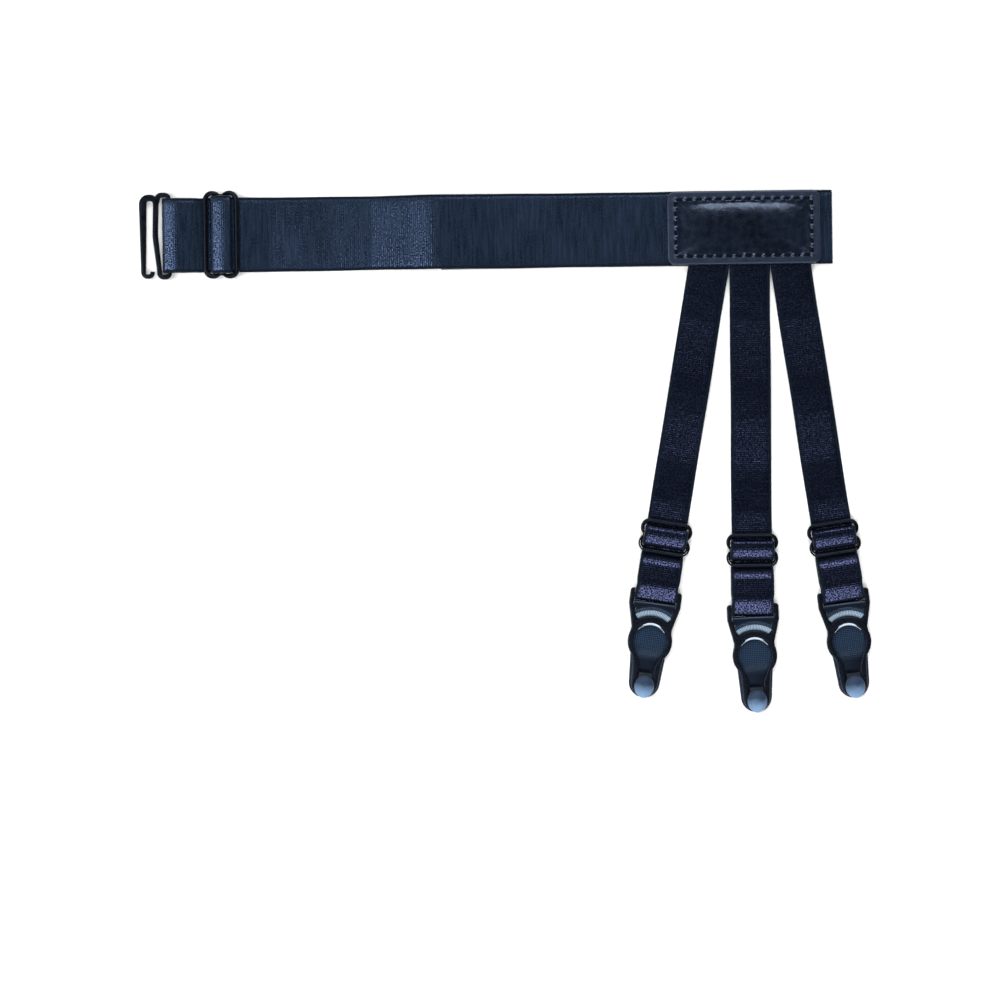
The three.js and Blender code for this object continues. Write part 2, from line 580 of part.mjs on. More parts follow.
// The button: a peg in the tongue, a stem in the slot, and a domed head with a flat collar above the frame
function buttonGeometry() {
  const slotTop = FRAME_HEIGHT + FRAME_THICKNESS / 2 + CLEARANCE;
  const stem = SLOT_WIDTH / 2 - CLEARANCE;
  const shank = new THREE.LatheGeometry(
    [
      [0, CLEARANCE],
      [BUTTON_PEG / 2, CLEARANCE],
      [BUTTON_PEG / 2, TONGUE_THICKNESS + CLEARANCE],
      [stem, TONGUE_THICKNESS + CLEARANCE],
      [stem, slotTop + COLLAR_THICKNESS / 2],
      [0, slotTop + COLLAR_THICKNESS / 2],
    ].map(([radius, height]) => new THREE.Vector2(radius, height)),
    16,
  );
  shank.rotateX(Math.PI / 2);

  const steps = 5;
  const arc = Array.from({ length: steps + 1 }, (_, i) => (i / steps) * (Math.PI / 2));
  const profile = arc.map((angle) => new THREE.Vector2(Math.cos(angle), Math.sin(angle)));
  profile[steps].x = 0;
  const dome = new THREE.LatheGeometry([new THREE.Vector2(0, -0.2), new THREE.Vector2(1, -0.2), ...profile], 20);
  dome.rotateX(Math.PI / 2).scale(BUTTON_LENGTH / 2, BUTTON_WIDTH / 2, BUTTON_RISE);
  dome.translate(0, 0, slotTop + COLLAR_THICKNESS);

  const collar = new THREE.Shape();
  collar.absarc(0, 0, COLLAR_WIDTH / 2, -Math.PI / 2, Math.PI / 2, false);
  collar.lineTo(-COLLAR_REACH, COLLAR_WIDTH / 2 - 1);
  collar.lineTo(-COLLAR_REACH, 1 - COLLAR_WIDTH / 2);
  const plate = new THREE.ExtrudeGeometry(collar, {
    depth: COLLAR_THICKNESS,
    bevelEnabled: false,
    curveSegments: 12,
  });
  plate.translate(0, 0, slotTop);
  return geometryOf(solid(shank).add(solid(dome)).add(solid(plate))).translate(BUTTON_AT, 0, 0);
}

// A strap comes from under the patch, lies on the table with a slight bow, and ends in its adjuster
function strapRows({ sliderAt, clipAt }) {
  const root = layer(BAND_THICKNESS, 1) + BAND_THICKNESS / 2 + CLEARANCE + STRAP_THICKNESS / 2;
  const floor = layer(STRAP_THICKNESS, 0);
  return [
    { at: -STRAP_ROOT, up: root },
    { at: STRAP_THICKNESS, up: root, round: STRAP_LANDING / 2 },
    { at: STRAP_LANDING, up: floor + STRAP_BOW * 0.1, round: STRAP_LANDING },
    { at: sliderAt * 0.5, up: floor + STRAP_BOW, round: sliderAt },
    { at: sliderAt * 0.72, up: floor, round: sliderAt / 2 },
    { at: sliderAt * 0.86, up: floor, round: sliderAt / 4 },
    ...adjusterRows({
      slider: STRAP_SLIDER,
      thickness: STRAP_THICKNESS,
      sliderAt,
      endAt: clipAt,
      endWrap: FRAME_HEIGHT - floor,
      endLoop: FRAME_HEIGHT - floor,
    }),
  ];
}

// The roots of neighbouring straps are cut on a slant, so that they lie side by side under the patch
function strapHalfWidths(leg) {
  const fans = [-1, 1].map((side) => {
    const neighbour = LEGS[LEGS.indexOf(leg) + side];
    return neighbour ? Math.abs(neighbour.turn - leg.turn) / 2 : 0;
  });
  return (at) =>
    fans.map((fan) => {
      const room = (STRAP_PITCH - CLEARANCE) / 2 + at * Math.tan(THREE.MathUtils.degToRad(fan));
      return fan ? Math.min(STRAP_WIDTH / 2, room) : STRAP_WIDTH / 2;
    });
}

// One leg: X runs down the strap from the band's lower edge
function legAssembly(leg, index) {
  const { side, turn, sliderAt, clipAt, clipTurn } = leg;
  const group = new THREE.Group();
  const strap = webbing(strapRows(leg), STRAP_THICKNESS, strapHalfWidths(leg));
  const slider = piece(`slider_${side}`, sliderGeometry(STRAP_SLIDER, STRAP_WIDTH, STRAP_THICKNESS), "coatedWire");
  slider.position.set(sliderAt, 0, sliderSizes(STRAP_SLIDER, STRAP_THICKNESS).height);

  const clip = new THREE.Group();
  const frame = piece(`clip_frame_${side}`, frameGeometry(), "plastic");
  frame.position.z = FRAME_HEIGHT;
  clip.add(frame);
  clip.add(piece(`clip_tongue_${side}`, tongueGeometry(), "tongue"));
  clip.add(piece(`clip_button_${side}`, buttonGeometry(), "button"));
  clip.position.x = clipAt;
  clip.rotation.z = THREE.MathUtils.degToRad(clipTurn);

  group.add(piece(`strap_${side}`, strap, "webbing"), slider, clip);
  group.position.set(STRAPS_OFF_CENTRE + (index - 1) * STRAP_PITCH, -BAND_WIDTH / 2, 0);
  group.rotation.z = THREE.MathUtils.degToRad(turn - 90);
  return group;
}

const parts = new THREE.Group();
parts.add(bandAssembly(), piece("patch", patchGeometry(), "leather"), ...LEGS.map(legAssembly));

// The origin is on the table, below the middle of the whole stay
parts.updateMatrixWorld(true);
const box = new THREE.Box3().setFromObject(parts, true);
const middle = box.getCenter(new THREE.Vector3());
parts.position.set(-middle.x, -middle.y, -box.min.z);

const shirtStay = new THREE.Group();
shirtStay.add(parts);

export default shirtStay;
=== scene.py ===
"""A shirt stay: an elastic thigh band with a padded leather patch, and three elastic straps with clips.

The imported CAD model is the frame. This script dresses it: woven webbing, sewn leather, coated wire and
moulded clips, then the stage. Sizes are in millimetres until a mesh is written, which is in metres.
"""

import math

import bpy
import numpy as np
from bpy.props import FloatProperty, FloatVectorProperty, PointerProperty, StringProperty
from mathutils import Matrix, Vector


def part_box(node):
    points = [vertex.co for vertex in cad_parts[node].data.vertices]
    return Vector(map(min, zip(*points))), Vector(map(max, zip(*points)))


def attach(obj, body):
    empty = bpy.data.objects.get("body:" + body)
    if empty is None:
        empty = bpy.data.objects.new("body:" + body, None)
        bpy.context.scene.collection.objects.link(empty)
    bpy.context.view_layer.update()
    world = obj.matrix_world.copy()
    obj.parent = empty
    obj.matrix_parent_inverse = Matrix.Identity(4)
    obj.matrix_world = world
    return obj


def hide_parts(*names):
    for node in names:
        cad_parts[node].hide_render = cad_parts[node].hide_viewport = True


bl_info = {
    "name": "Shirt Stay",
    "version": (1, 0, 0),
    "blender": (4, 5, 0),
    "location": "3D View > Sidebar > Shirt Stay",
    "description": "Builds a shirt stay with a thigh band, a padded patch, three straps and their clips",
    "category": "Object",
}

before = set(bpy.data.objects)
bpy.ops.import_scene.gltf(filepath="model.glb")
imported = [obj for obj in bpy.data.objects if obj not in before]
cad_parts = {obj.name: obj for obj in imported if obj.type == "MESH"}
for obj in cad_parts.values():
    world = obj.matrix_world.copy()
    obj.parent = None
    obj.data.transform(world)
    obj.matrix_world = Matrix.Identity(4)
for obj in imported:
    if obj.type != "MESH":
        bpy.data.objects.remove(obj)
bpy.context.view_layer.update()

MM = 0.001
CLEARANCE = 0.3
# Webbing lies on its bars, with only this gap for the meshes
TOUCH = 0.1

# Thigh band, measured along it from the middle of the patch
BAND_WIDTH = 38
BAND_THICKNESS = 1.1
BAND_FOLD_AT = 45.3
BAND_LOOP_AT = 153.8
BAND_LOOP_LENGTH = 16
BAND_SLIDER_AT = 264.7
BAND_HOOK_AT = 291.2
BAND_CLIMB = 48

# Straps, measured along them from the band's lower edge
STRAP_WIDTH = 20.8
STRAP_THICKNESS = 1
STRAP_PITCH = 20.7
STRAPS_OFF_CENTRE = 2.9
STRAP_ROOT = 14
STRAP_BOW = 2.2
STRAP_LANDING = 16
LEGS = [
    {"side": "left", "turn": -9.9, "slider_at": 139.6, "clip_at": 169.8, "clip_turn": 1.5},
    {"side": "middle", "turn": -0.3, "slider_at": 144.5, "clip_at": 175, "clip_turn": 2.2},
    {"side": "right", "turn": 8.2, "slider_at": 140.3, "clip_at": 170.4, "clip_turn": -1.6},
]

# Wire sliders and the hook
SLIDER_SIDE_ROOM = 0.8
SLIDER_CORNER = 1.6
SLIDER_NOTCH = 1.6
BAND_SLIDER = {"wire": 2.5, "pitch": 8.6, "overlap": 0.6, "middle_bar": 2}
STRAP_SLIDER = {"wire": 2, "pitch": 7.9, "overlap": 0.75, "middle_bar": 1.8}
HOOK_THICKNESS = 2.4
HOOK_ROUND = 0.6
HOOK_WIRE = 2.4
HOOK_MIDDLE = 2.8
HOOK_FLANGE = 4.1
HOOK_TIP = 2.3
HOOK_REACH = 13.1
HOOK_END_ROOM = 2
HOOK_WRAP = 2.239
# The webbing's end loops: where it is highest before the bar, its brow and its radius beyond it
BAND_END = {"crest_at": 3.2, "crest": 5.65, "loop": 2.9, "brow": 4.15, "radius": 1.75}
STRAP_END = {"crest_at": 5.6, "crest": 6.35, "loop": 2.35, "brow": 4.35, "radius": 1.8}

# Patch
PATCH_LENGTH = 77.5
PATCH_HEIGHT = 37.3
PATCH_CORNER = 4.2
PATCH_BORDER_TOP = 5.3
STITCH_INSET = 4.2
PAD_INSET = 5.05
PAD_CROWN = 1.95
PUFF_STEPS = 12
PUFF_CAP = 0.35
STITCH_PITCH = 4.8
STITCH_SHARE = 0.66
STITCH_SINK = 0.3

# Clip
FRAME_THICKNESS = 2.4
FRAME_ROUND = 0.7
FRAME_HEIGHT = 2.9
FRAME_INNER = 10.8
FRAME_OUTER = 13.15
FRAME_BAR = 2
FRAME_EARS = 3.2
EAR_CORNER = 1.6
SHOULDER_END = 4.7
NECK_AT = 16.5
NECK_WIDTH = 20.4
WINDOW_INSET = 1.2
RING_AT = 23
RING_RADIUS = 11.3
KEYHOLE_RADIUS = 8.4
ARCH_RADIUS = 12.8
WINDOW_CORNER_AT = 8.65
TONGUE_CORNER_AT = 8.9
SLOT_WIDTH = 7.4
SLOT_LENGTH = 22.8
LEG_WIDTH = 3
LEG_SETBACK = 1.4
TONGUE_THICKNESS = 1.4
TONGUE_TIP_WIDTH = 15.7
TIP_SETBACK = 1.9
HINGE_AT = 6
BARREL_RADIUS = 2.35
CRESCENT_BROW = 15.9
CRESCENT_FOOT = ARCH_RADIUS - 0.25
BUTTON_AT = RING_AT + SLOT_LENGTH
BUTTON_LENGTH = 11.8
BUTTON_WIDTH = 10.1
BUTTON_RISE = 2.7
BUTTON_FOOT = 5.2
COLLAR_WIDTH = 8.6
COLLAR_REACH = 6.9
COLLAR_UNDERSIDE = 4.4

# Places on the table
patch_low, patch_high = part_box("patch")
PATCH_CENTRE = (patch_low + patch_high) / 2 / MM


def turned_place(x, y, degrees):
    """The move from a piece's own millimetres to the table's metres."""
    turn = Matrix.Rotation(math.radians(degrees), 4, "Z")
    return Matrix.Scale(MM, 4) @ Matrix.Translation((x, y, 0)) @ turn


BAND_PLACE = turned_place(PATCH_CENTRE.x, PATCH_CENTRE.y, 180)
PATCH_PLACE = turned_place(PATCH_CENTRE.x, PATCH_CENTRE.y, 0)


def leg_place(index):
    across = STRAPS_OFF_CENTRE + (index - 1) * STRAP_PITCH
    down = BAND_WIDTH / 2
    return turned_place(PATCH_CENTRE.x + across, PATCH_CENTRE.y - down, LEGS[index]["turn"] - 90)


def clip_place(index):
    leg = LEGS[index]
    turn = Matrix.Rotation(math.radians(leg["clip_turn"]), 4, "Z")
    return leg_place(index) @ Matrix.Translation((leg["clip_at"], 0, 0)) @ turn


# Colours and nodes


def linear(hex_colour):
    """An sRGB hex colour as linear red, green, blue and 1."""
    parts = [int(hex_colour[i : i + 2], 16) / 255 for i in (1, 3, 5)]
    return (*[p / 12.92 if p <= 0.04045 else ((p + 0.055) / 1.055) ** 2.4 for p in parts], 1)


def add_node(tree, kind, settings=None, links=None):
    """Adds a node, sets its properties and sockets, and links its inputs to other nodes' outputs.

    A socket is given by its name or number. Those of a Map Range are value, from low and high, to low and high.
    """
    node = tree.nodes.new(kind)
    for name, value in (settings or {}).items():
        if isinstance(name, int) or name in node.inputs:
            node.inputs[name].default_value = value
        else:
            setattr(node, name, value)
    for name, source in (links or {}).items():
        tree.links.new(source, node.inputs[name])
    return node


def new_material(name):
    material = bpy.data.materials.new(name)
    material.use_nodes = True
    material.node_tree.nodes.clear()
    return material, material.node_tree


def finish_material(tree, shader):
    add_node(tree, "ShaderNodeOutputMaterial", links={"Surface": shader.outputs[0]})


# Polyester and elastane webbing, woven. Streaked along its ribs, with specks of light where the yarn turns
def webbing_material(name, look, dark, light, tint):
    material, tree = new_material(name)
    cloth = add_node(tree, "ShaderNodeUVMap", {"uv_map": "weave"}).outputs[0]
    # Each rib has a shade of its own right across the webbing. Ribs are 0.5 mm apart and are drawn 1 mm apart
    lengthwise = add_node(tree, "ShaderNodeMapping", {"Scale": (1, 0.06, 1)}, {"Vector": cloth}).outputs[0]
    streaks = add_node(tree, "ShaderNodeTexNoise", {"Scale": 1, "Detail": 3}, {"Vector": lengthwise}).outputs[0]
    # Yarn floats are 0.3 mm wide and are drawn 0.7 mm wide, so that they show
    flecks = add_node(tree, "ShaderNodeTexNoise", {"Scale": 1.3, "Detail": 2}, {"Vector": cloth}).outputs[0]
    patches = add_node(tree, "ShaderNodeTexNoise", {"Scale": 0.035, "Detail": 2}, {"Vector": cloth}).outputs[0]
    edge = add_node(tree, "ShaderNodeAttribute", {"attribute_name": "selvedge"}).outputs["Fac"]
    streaked = add_node(tree, "ShaderNodeMapRange", {1: 0.38, 2: 0.64, 4: 0.6}, {0: streaks}).outputs[0]
    flecked = add_node(tree, "ShaderNodeMapRange", {1: 0.4, 2: 0.66}, {0: flecks}).outputs[0]
    patched = add_node(
        tree, "ShaderNodeMapRange", {1: 0.35, 2: 0.65, 3: -0.5, 4: 0.5}, {0: patches}
    ).outputs[0]
    worn = streaked
    for part, share in ((flecked, 0.4), (patched, 0.3)):
        worn = add_node(
            tree, "ShaderNodeMath", {"operation": "MULTIPLY_ADD", 1: share}, {0: part, 2: worn}
        ).outputs[0]
    yarns = {"data_type": "RGBA", 6: linear(dark), 7: linear(light)}
    body = add_node(tree, "ShaderNodeMix", yarns, {0: worn}).outputs[2]
    shade = add_node(
        tree, "ShaderNodeMix", {"data_type": "RGBA", 7: linear(look.selvedge_colour)}, {0: edge, 6: body}
    ).outputs[2]
    height = add_node(
        tree, "ShaderNodeMath", {"operation": "MULTIPLY_ADD", 1: 0.5}, {0: streaks, 2: flecks}
    ).outputs[0]
    relief = add_node(tree, "ShaderNodeBump", {"Strength": 0.6, "Distance": 0.00013}, {"Height": height})
    bright = add_node(tree, "ShaderNodeMapRange", {1: 0.42, 2: 0.6}, {0: flecks}).outputs[0]
    glints = {"data_type": "RGBA", 6: linear("#202a40"), 7: linear(tint)}
    glint = add_node(tree, "ShaderNodeMix", glints, {0: bright}).outputs[2]
    gloss = add_node(tree, "ShaderNodeMapRange", {1: 0.35, 2: 0.65, 3: 0.33, 4: 0.2}, {0: flecks}).outputs[0]
    shine = add_node(
        tree, "ShaderNodeMix", {"data_type": "RGBA", 7: linear("#10151f")}, {0: edge, 6: glint}
    ).outputs[2]
    shader = add_node(
        tree,
        "ShaderNodeBsdfPrincipled",
        {"IOR": 1.72},
        {
            "Base Color": shade,
            "Specular Tint": shine,
            "Roughness": gloss,
            "Normal": relief.outputs[0],
        },
    )
    finish_material(tree, shader)
    return material


# Leather, pigmented and glazed. Nearly black, with a soft shine broken by fine pores
def leather_material(look):
    material, tree = new_material("glazed_leather")
    place = add_node(tree, "ShaderNodeTexCoord").outputs["Object"]
    # Pores are 0.4 mm apart and are drawn 0.9 mm apart, so that they show
    grain = add_node(tree, "ShaderNodeTexVoronoi", {"Scale": 1100}, {"Vector": place}).outputs["Distance"]
    creases = add_node(tree, "ShaderNodeTexNoise", {"Scale": 320, "Detail": 4}, {"Vector": place}).outputs[0]
    tone = add_node(tree, "ShaderNodeTexNoise", {"Scale": 40, "Detail": 2}, {"Vector": place}).outputs[0]
    dents = add_node(tree, "ShaderNodeTexNoise", {"Scale": 130, "Detail": 2}, {"Vector": place}).outputs[0]
    height = add_node(
        tree, "ShaderNodeMath", {"operation": "MULTIPLY_ADD", 1: 0.6}, {0: grain, 2: creases}
    ).outputs[0]
    fine = add_node(tree, "ShaderNodeBump", {"Strength": 0.3, "Distance": 0.0001}, {"Height": height})
    relief = add_node(
        tree,
        "ShaderNodeBump",
        {"Strength": 0.5, "Distance": 0.0006},
        {"Height": dents, "Normal": fine.outputs[0]},
    )
    toned = add_node(tree, "ShaderNodeMapRange", {1: 0.35, 2: 0.65}, {0: tone}).outputs[0]
    tones = {"data_type": "RGBA", 6: linear(look.leather_dark), 7: linear(look.leather_light)}
    pad = add_node(tree, "ShaderNodeMix", tones, {0: toned}).outputs[2]
    # The border is pressed flat, and is paler and duller than the pad
    border = add_node(tree, "ShaderNodeAttribute", {"attribute_name": "border"}).outputs["Fac"]
    rubbed = add_node(
        tree, "ShaderNodeMix", {"data_type": "RGBA", 7: linear(look.border_colour)}, {0: border, 6: pad}
    ).outputs[2]
    gloss = add_node(tree, "ShaderNodeMapRange", {1: 0.3, 2: 0.7, 3: 0.22, 4: 0.32}, {0: creases}).outputs[0]
    rough = add_node(tree, "ShaderNodeMath", {"operation": "MULTIPLY_ADD", 1: 0.1}, {0: border, 2: gloss})
    shader = add_node(
        tree,
        "ShaderNodeBsdfPrincipled",
        {"IOR": 1.52, "Specular Tint": linear("#c4d6fa")},
        {
            "Base Color": rubbed,
            "Roughness": rough.outputs[0],
            "Normal": relief.outputs[0],
        },
    )
    finish_material(tree, shader)
    return material


# Bonded polyester thread, twisted. Black, with a glint on each strand
def thread_material(look):
    material, tree = new_material("bonded_thread")
    place = add_node(tree, "ShaderNodeTexCoord").outputs["Object"]
    twist = add_node(
        tree, "ShaderNodeTexWave", {"Scale": 900, "bands_direction": "DIAGONAL"}, {"Vector": place}
    ).outputs["Fac"]
    relief = add_node(tree, "ShaderNodeBump", {"Strength": 0.6, "Distance": 0.0001}, {"Height": twist})
    strands = {"data_type": "RGBA", 6: linear(look.thread_colour), 7: linear("#04070d")}
    colour = add_node(tree, "ShaderNodeMix", strands, {0: twist}).outputs[2]
    shader = add_node(
        tree,
        "ShaderNodeBsdfPrincipled",
        {"Roughness": 0.5, "IOR": 1.25, "Specular Tint": linear("#8ca4d0")},
        {"Base Color": colour, "Normal": relief.outputs[0]},
    )
    finish_material(tree, shader)
    return material


# Steel wire in a nylon coat, dipped. Smooth and black, with a soft line of light along each bar
def coated_wire_material(look):
    material, tree = new_material("nylon_coated_wire")
    place = add_node(tree, "ShaderNodeTexCoord").outputs["Object"]
    ripple = add_node(tree, "ShaderNodeTexNoise", {"Scale": 260, "Detail": 3}, {"Vector": place}).outputs[0]
    relief = add_node(tree, "ShaderNodeBump", {"Strength": 0.12, "Distance": 0.0001}, {"Height": ripple})
    rippled = add_node(tree, "ShaderNodeMapRange", {1: 0.3, 2: 0.7}, {0: ripple}).outputs[0]
    blacks = {"data_type": "RGBA", 6: linear(look.wire_colour), 7: linear("#05070a")}
    colour = add_node(tree, "ShaderNodeMix", blacks, {0: rippled}).outputs[2]
    gloss = add_node(tree, "ShaderNodeMapRange", {1: 0.3, 2: 0.7, 3: 0.26, 4: 0.38}, {0: ripple}).outputs[0]
    shader = add_node(
        tree,
        "ShaderNodeBsdfPrincipled",
        {"IOR": 1.42, "Specular Tint": linear("#7c8aa4")},
        {
            "Base Color": colour,
            "Roughness": gloss,
            "Normal": relief.outputs[0],
        },
    )
    finish_material(tree, shader)
    return material


# Acetal, injection moulded. Black with a waxy shine and a fine orange peel
def frame_plastic_material(look):
    material, tree = new_material("moulded_acetal")
    place = add_node(tree, "ShaderNodeTexCoord").outputs["Object"]
    peel = add_node(tree, "ShaderNodeTexNoise", {"Scale": 700, "Detail": 2}, {"Vector": place}).outputs[0]
    flow = add_node(tree, "ShaderNodeTexNoise", {"Scale": 90, "Detail": 2}, {"Vector": place}).outputs[0]
    relief = add_node(tree, "ShaderNodeBump", {"Strength": 0.15, "Distance": 0.0001}, {"Height": peel})
    flowed = add_node(tree, "ShaderNodeMapRange", {1: 0.3, 2: 0.7}, {0: flow}).outputs[0]
    blacks = {"data_type": "RGBA", 6: linear(look.frame_colour), 7: linear("#0d1119")}
    satin = add_node(tree, "ShaderNodeMix", blacks, {0: flowed}).outputs[2]
    # The lip over the keyhole is polished by the cloth that slides over it, so it is smoother; its pale colour
    # is a painted highlight
    lip_polish_and_highlight = add_node(tree, "ShaderNodeAttribute", {"attribute_name": "lip_polish_and_highlight"}).outputs["Fac"]
    colour = add_node(
        tree, "ShaderNodeMix", {"data_type": "RGBA", 7: linear("#b4c0ce")}, {0: lip_polish_and_highlight, 6: satin}
    ).outputs[2]
    tints = {"data_type": "RGBA", 6: linear("#7886a0"), 7: linear("#ffffff")}
    tint = add_node(tree, "ShaderNodeMix", tints, {0: lip_polish_and_highlight}).outputs[2]
    gloss = add_node(tree, "ShaderNodeMapRange", {1: 0.3, 2: 0.7, 3: 0.24, 4: 0.34}, {0: peel}).outputs[0]
    rough = add_node(tree, "ShaderNodeMath", {"operation": "MULTIPLY_ADD", 1: -0.1}, {0: lip_polish_and_highlight, 2: gloss})
    shader = add_node(
        tree,
        "ShaderNodeBsdfPrincipled",
        {"IOR": 1.48},
        {
            "Base Color": colour,
            "Specular Tint": tint,
            "Roughness": rough.outputs[0],
            "Normal": relief.outputs[0],
        },
    )
    finish_material(tree, shader)
    return material


# Nylon, injection moulded with a knurled grip. Blue-black, with a grid of fine raised bars 0.93 mm apart
def tongue_plastic_material(look, index):
    side = LEGS[index]["side"]
    material, tree = new_material("moulded_nylon_" + side)
    place = add_node(tree, "ShaderNodeTexCoord").outputs["Object"]
    centre = clip_place(index) @ Vector((RING_AT, 0, 0))
    heading = math.radians(LEGS[index]["turn"] - 90 + LEGS[index]["clip_turn"])
    settings = {
        "vector_type": "TEXTURE",
        "Location": (centre.x, centre.y, 0),
        "Rotation": (0, 0, heading),
        "Scale": (MM, MM, MM),
    }
    own = add_node(tree, "ShaderNodeMapping", settings, {"Vector": place}).outputs[0]
    flat_place = add_node(
        tree, "ShaderNodeVectorMath", {"operation": "MULTIPLY", 1: (1, 1, 0)}, {0: own}
    ).outputs[0]
    axes = add_node(tree, "ShaderNodeSeparateXYZ", links={"Vector": own})
    bars = []
    for axis in ("X", "Y"):
        wrapped = add_node(
            tree, "ShaderNodeMath", {"operation": "PINGPONG", 1: 0.465}, {0: axes.outputs[axis]}
        ).outputs[0]
        bar = add_node(tree, "ShaderNodeMapRange", {1: 0.31, 2: 0.43}, {0: wrapped})
        bars.append(bar.outputs[0])
    grid = add_node(tree, "ShaderNodeMath", {"operation": "MAXIMUM"}, {0: bars[0], 1: bars[1]}).outputs[0]
    # The grid fades out towards the button, where the grip is smooth, and there is none on the hinge block
    along = axes.outputs["X"]
    smooth = add_node(tree, "ShaderNodeMapRange", {1: 1, 2: 10, 3: 1, 4: 0}, {0: along}).outputs[0]
    flat_side = add_node(tree, "ShaderNodeMapRange", {1: -9.5, 2: -9}, {0: along}).outputs[0]
    across = add_node(tree, "ShaderNodeMath", {"operation": "ABSOLUTE"}, {0: axes.outputs["Y"]}).outputs[0]
    rim = add_node(tree, "ShaderNodeMapRange", {1: 5.5, 2: 6.5, 4: 0.4}, {0: across}).outputs[0]
    region = add_node(tree, "ShaderNodeMath", {"operation": "MAXIMUM"}, {0: smooth, 1: rim}).outputs[0]
    region = add_node(tree, "ShaderNodeMath", {"operation": "MULTIPLY"}, {0: region, 1: flat_side}).outputs[0]
    # Two rows of dots edge the hinge block, 16.6 to 18.2 mm from the middle of the ring
    far_out = add_node(tree, "ShaderNodeVectorMath", {"operation": "LENGTH"}, {0: flat_place}).outputs["Value"]
    starts = add_node(tree, "ShaderNodeMapRange", {1: 16.3, 2: 16.5, 4: 0.5}, {0: far_out}).outputs[0]
    ends = add_node(tree, "ShaderNodeMapRange", {1: 17.4, 2: 17.6, 3: 1, 4: 0}, {0: far_out}).outputs[0]
    dots = add_node(tree, "ShaderNodeMath", {"operation": "MULTIPLY"}, {0: starts, 1: ends}).outputs[0]
    region = add_node(tree, "ShaderNodeMath", {"operation": "MAXIMUM"}, {0: region, 1: dots}).outputs[0]
    shown = add_node(tree, "ShaderNodeMath", {"operation": "MULTIPLY"}, {0: grid, 1: region}).outputs[0]
    relief = add_node(tree, "ShaderNodeBump", {"Strength": 0.8, "Distance": 0.00015}, {"Height": shown})
    grips = {"data_type": "RGBA", 6: linear(look.tongue_colour), 7: linear("#2e4560")}
    gripped = add_node(tree, "ShaderNodeMix", grips, {0: shown}).outputs[2]
    # A painted highlight makes the teeth below the hinge block pale
    teeth_highlight = add_node(tree, "ShaderNodeAttribute", {"attribute_name": "teeth_highlight"}).outputs["Fac"]
    colour = add_node(
        tree, "ShaderNodeMix", {"data_type": "RGBA", 7: linear(look.teeth_highlight_colour)}, {0: teeth_highlight, 6: gripped}
    ).outputs[2]
    shader = add_node(
        tree,
        "ShaderNodeBsdfPrincipled",
        {"IOR": 1.5, "Roughness": 0.27, "Specular Tint": linear("#96aac8")},
        {"Base Color": colour, "Normal": relief.outputs[0]},
    )
    finish_material(tree, shader)
    return material


# Nylon, moulded and tumbled smooth. Slate blue, with a painted highlight towards the tip of its head
def button_material(look):
    material, tree = new_material("tumbled_nylon")
    place = add_node(tree, "ShaderNodeTexCoord").outputs["Object"]
    cloud = add_node(tree, "ShaderNodeTexNoise", {"Scale": 300, "Detail": 3}, {"Vector": place}).outputs[0]
    relief = add_node(tree, "ShaderNodeBump", {"Strength": 0.1, "Distance": 0.0001}, {"Height": cloud})
    # A painted highlight makes the head paler towards its tip
    tip = add_node(tree, "ShaderNodeAttribute", {"attribute_name": "tip"}).outputs["Fac"]
    cloud_and_highlight = add_node(
        tree, "ShaderNodeMath", {"operation": "MULTIPLY_ADD", 1: 0.25}, {0: cloud, 2: tip}
    ).outputs[0]
    painted_highlight = add_node(tree, "ShaderNodeMapRange", {1: 0.5, 2: 1.12}, {0: cloud_and_highlight}).outputs[0]
    blues = {"data_type": "RGBA", 6: linear(look.button_colour), 7: linear(look.tip_highlight_colour)}
    dome = add_node(tree, "ShaderNodeMix", blues, {0: painted_highlight}).outputs[2]
    # The collar and the foot of the head, below 5.2 to 5.9 mm, are darker
    height = add_node(tree, "ShaderNodeSeparateXYZ", links={"Vector": place}).outputs["Z"]
    collar = add_node(tree, "ShaderNodeMapRange", {1: 0.0052, 2: 0.0059}, {0: height}).outputs[0]
    colour = add_node(
        tree, "ShaderNodeMix", {"data_type": "RGBA", 6: linear("#06090e")}, {0: collar, 7: dome}
    ).outputs[2]
    shader = add_node(
        tree,
        "ShaderNodeBsdfPrincipled",
        {"IOR": 1.4, "Roughness": 0.58, "Specular Tint": linear("#dbe8f8")},
        {"Base Color": colour, "Normal": relief.outputs[0]},
    )
    finish_material(tree, shader)
    return material


# Backdrop paper, calendered. White and even
def backdrop_material(look):
    material, tree = new_material("backdrop_paper")
    place = add_node(tree, "ShaderNodeTexCoord").outputs["Object"]
    pulp = add_node(tree, "ShaderNodeTexNoise", {"Scale": 30, "Detail": 3}, {"Vector": place}).outputs[0]
    whites = {"data_type": "RGBA", 6: (*look.floor_colour, 1), 7: linear("#ffffff")}
    colour = add_node(tree, "ShaderNodeMix", whites, {0: pulp}).outputs[2]
    shader = add_node(tree, "ShaderNodeBsdfPrincipled", {"Roughness": 0.9}, {"Base Color": colour})
    finish_material(tree, shader)
    return material


# Mesh helpers


def only_select(*objects):
    """Selects these objects and nothing else, the first of them active."""
    if bpy.context.object and bpy.context.object.mode != "OBJECT":
        bpy.ops.object.mode_set(mode="OBJECT")
    bpy.ops.object.select_all(action="DESELECT")
    for o in objects:
        o.hide_set(False)
        o.select_set(True)
    bpy.context.view_layer.objects.active = objects[0]


def mesh_piece(name, vertices, faces):
    """A piece from points in metres."""
    mesh = bpy.data.meshes.new(name)
    mesh.from_pydata(vertices, [], faces)
    mesh.update()
    made = bpy.data.objects.new(name, mesh)
    bpy.context.scene.collection.objects.link(made)
    return made


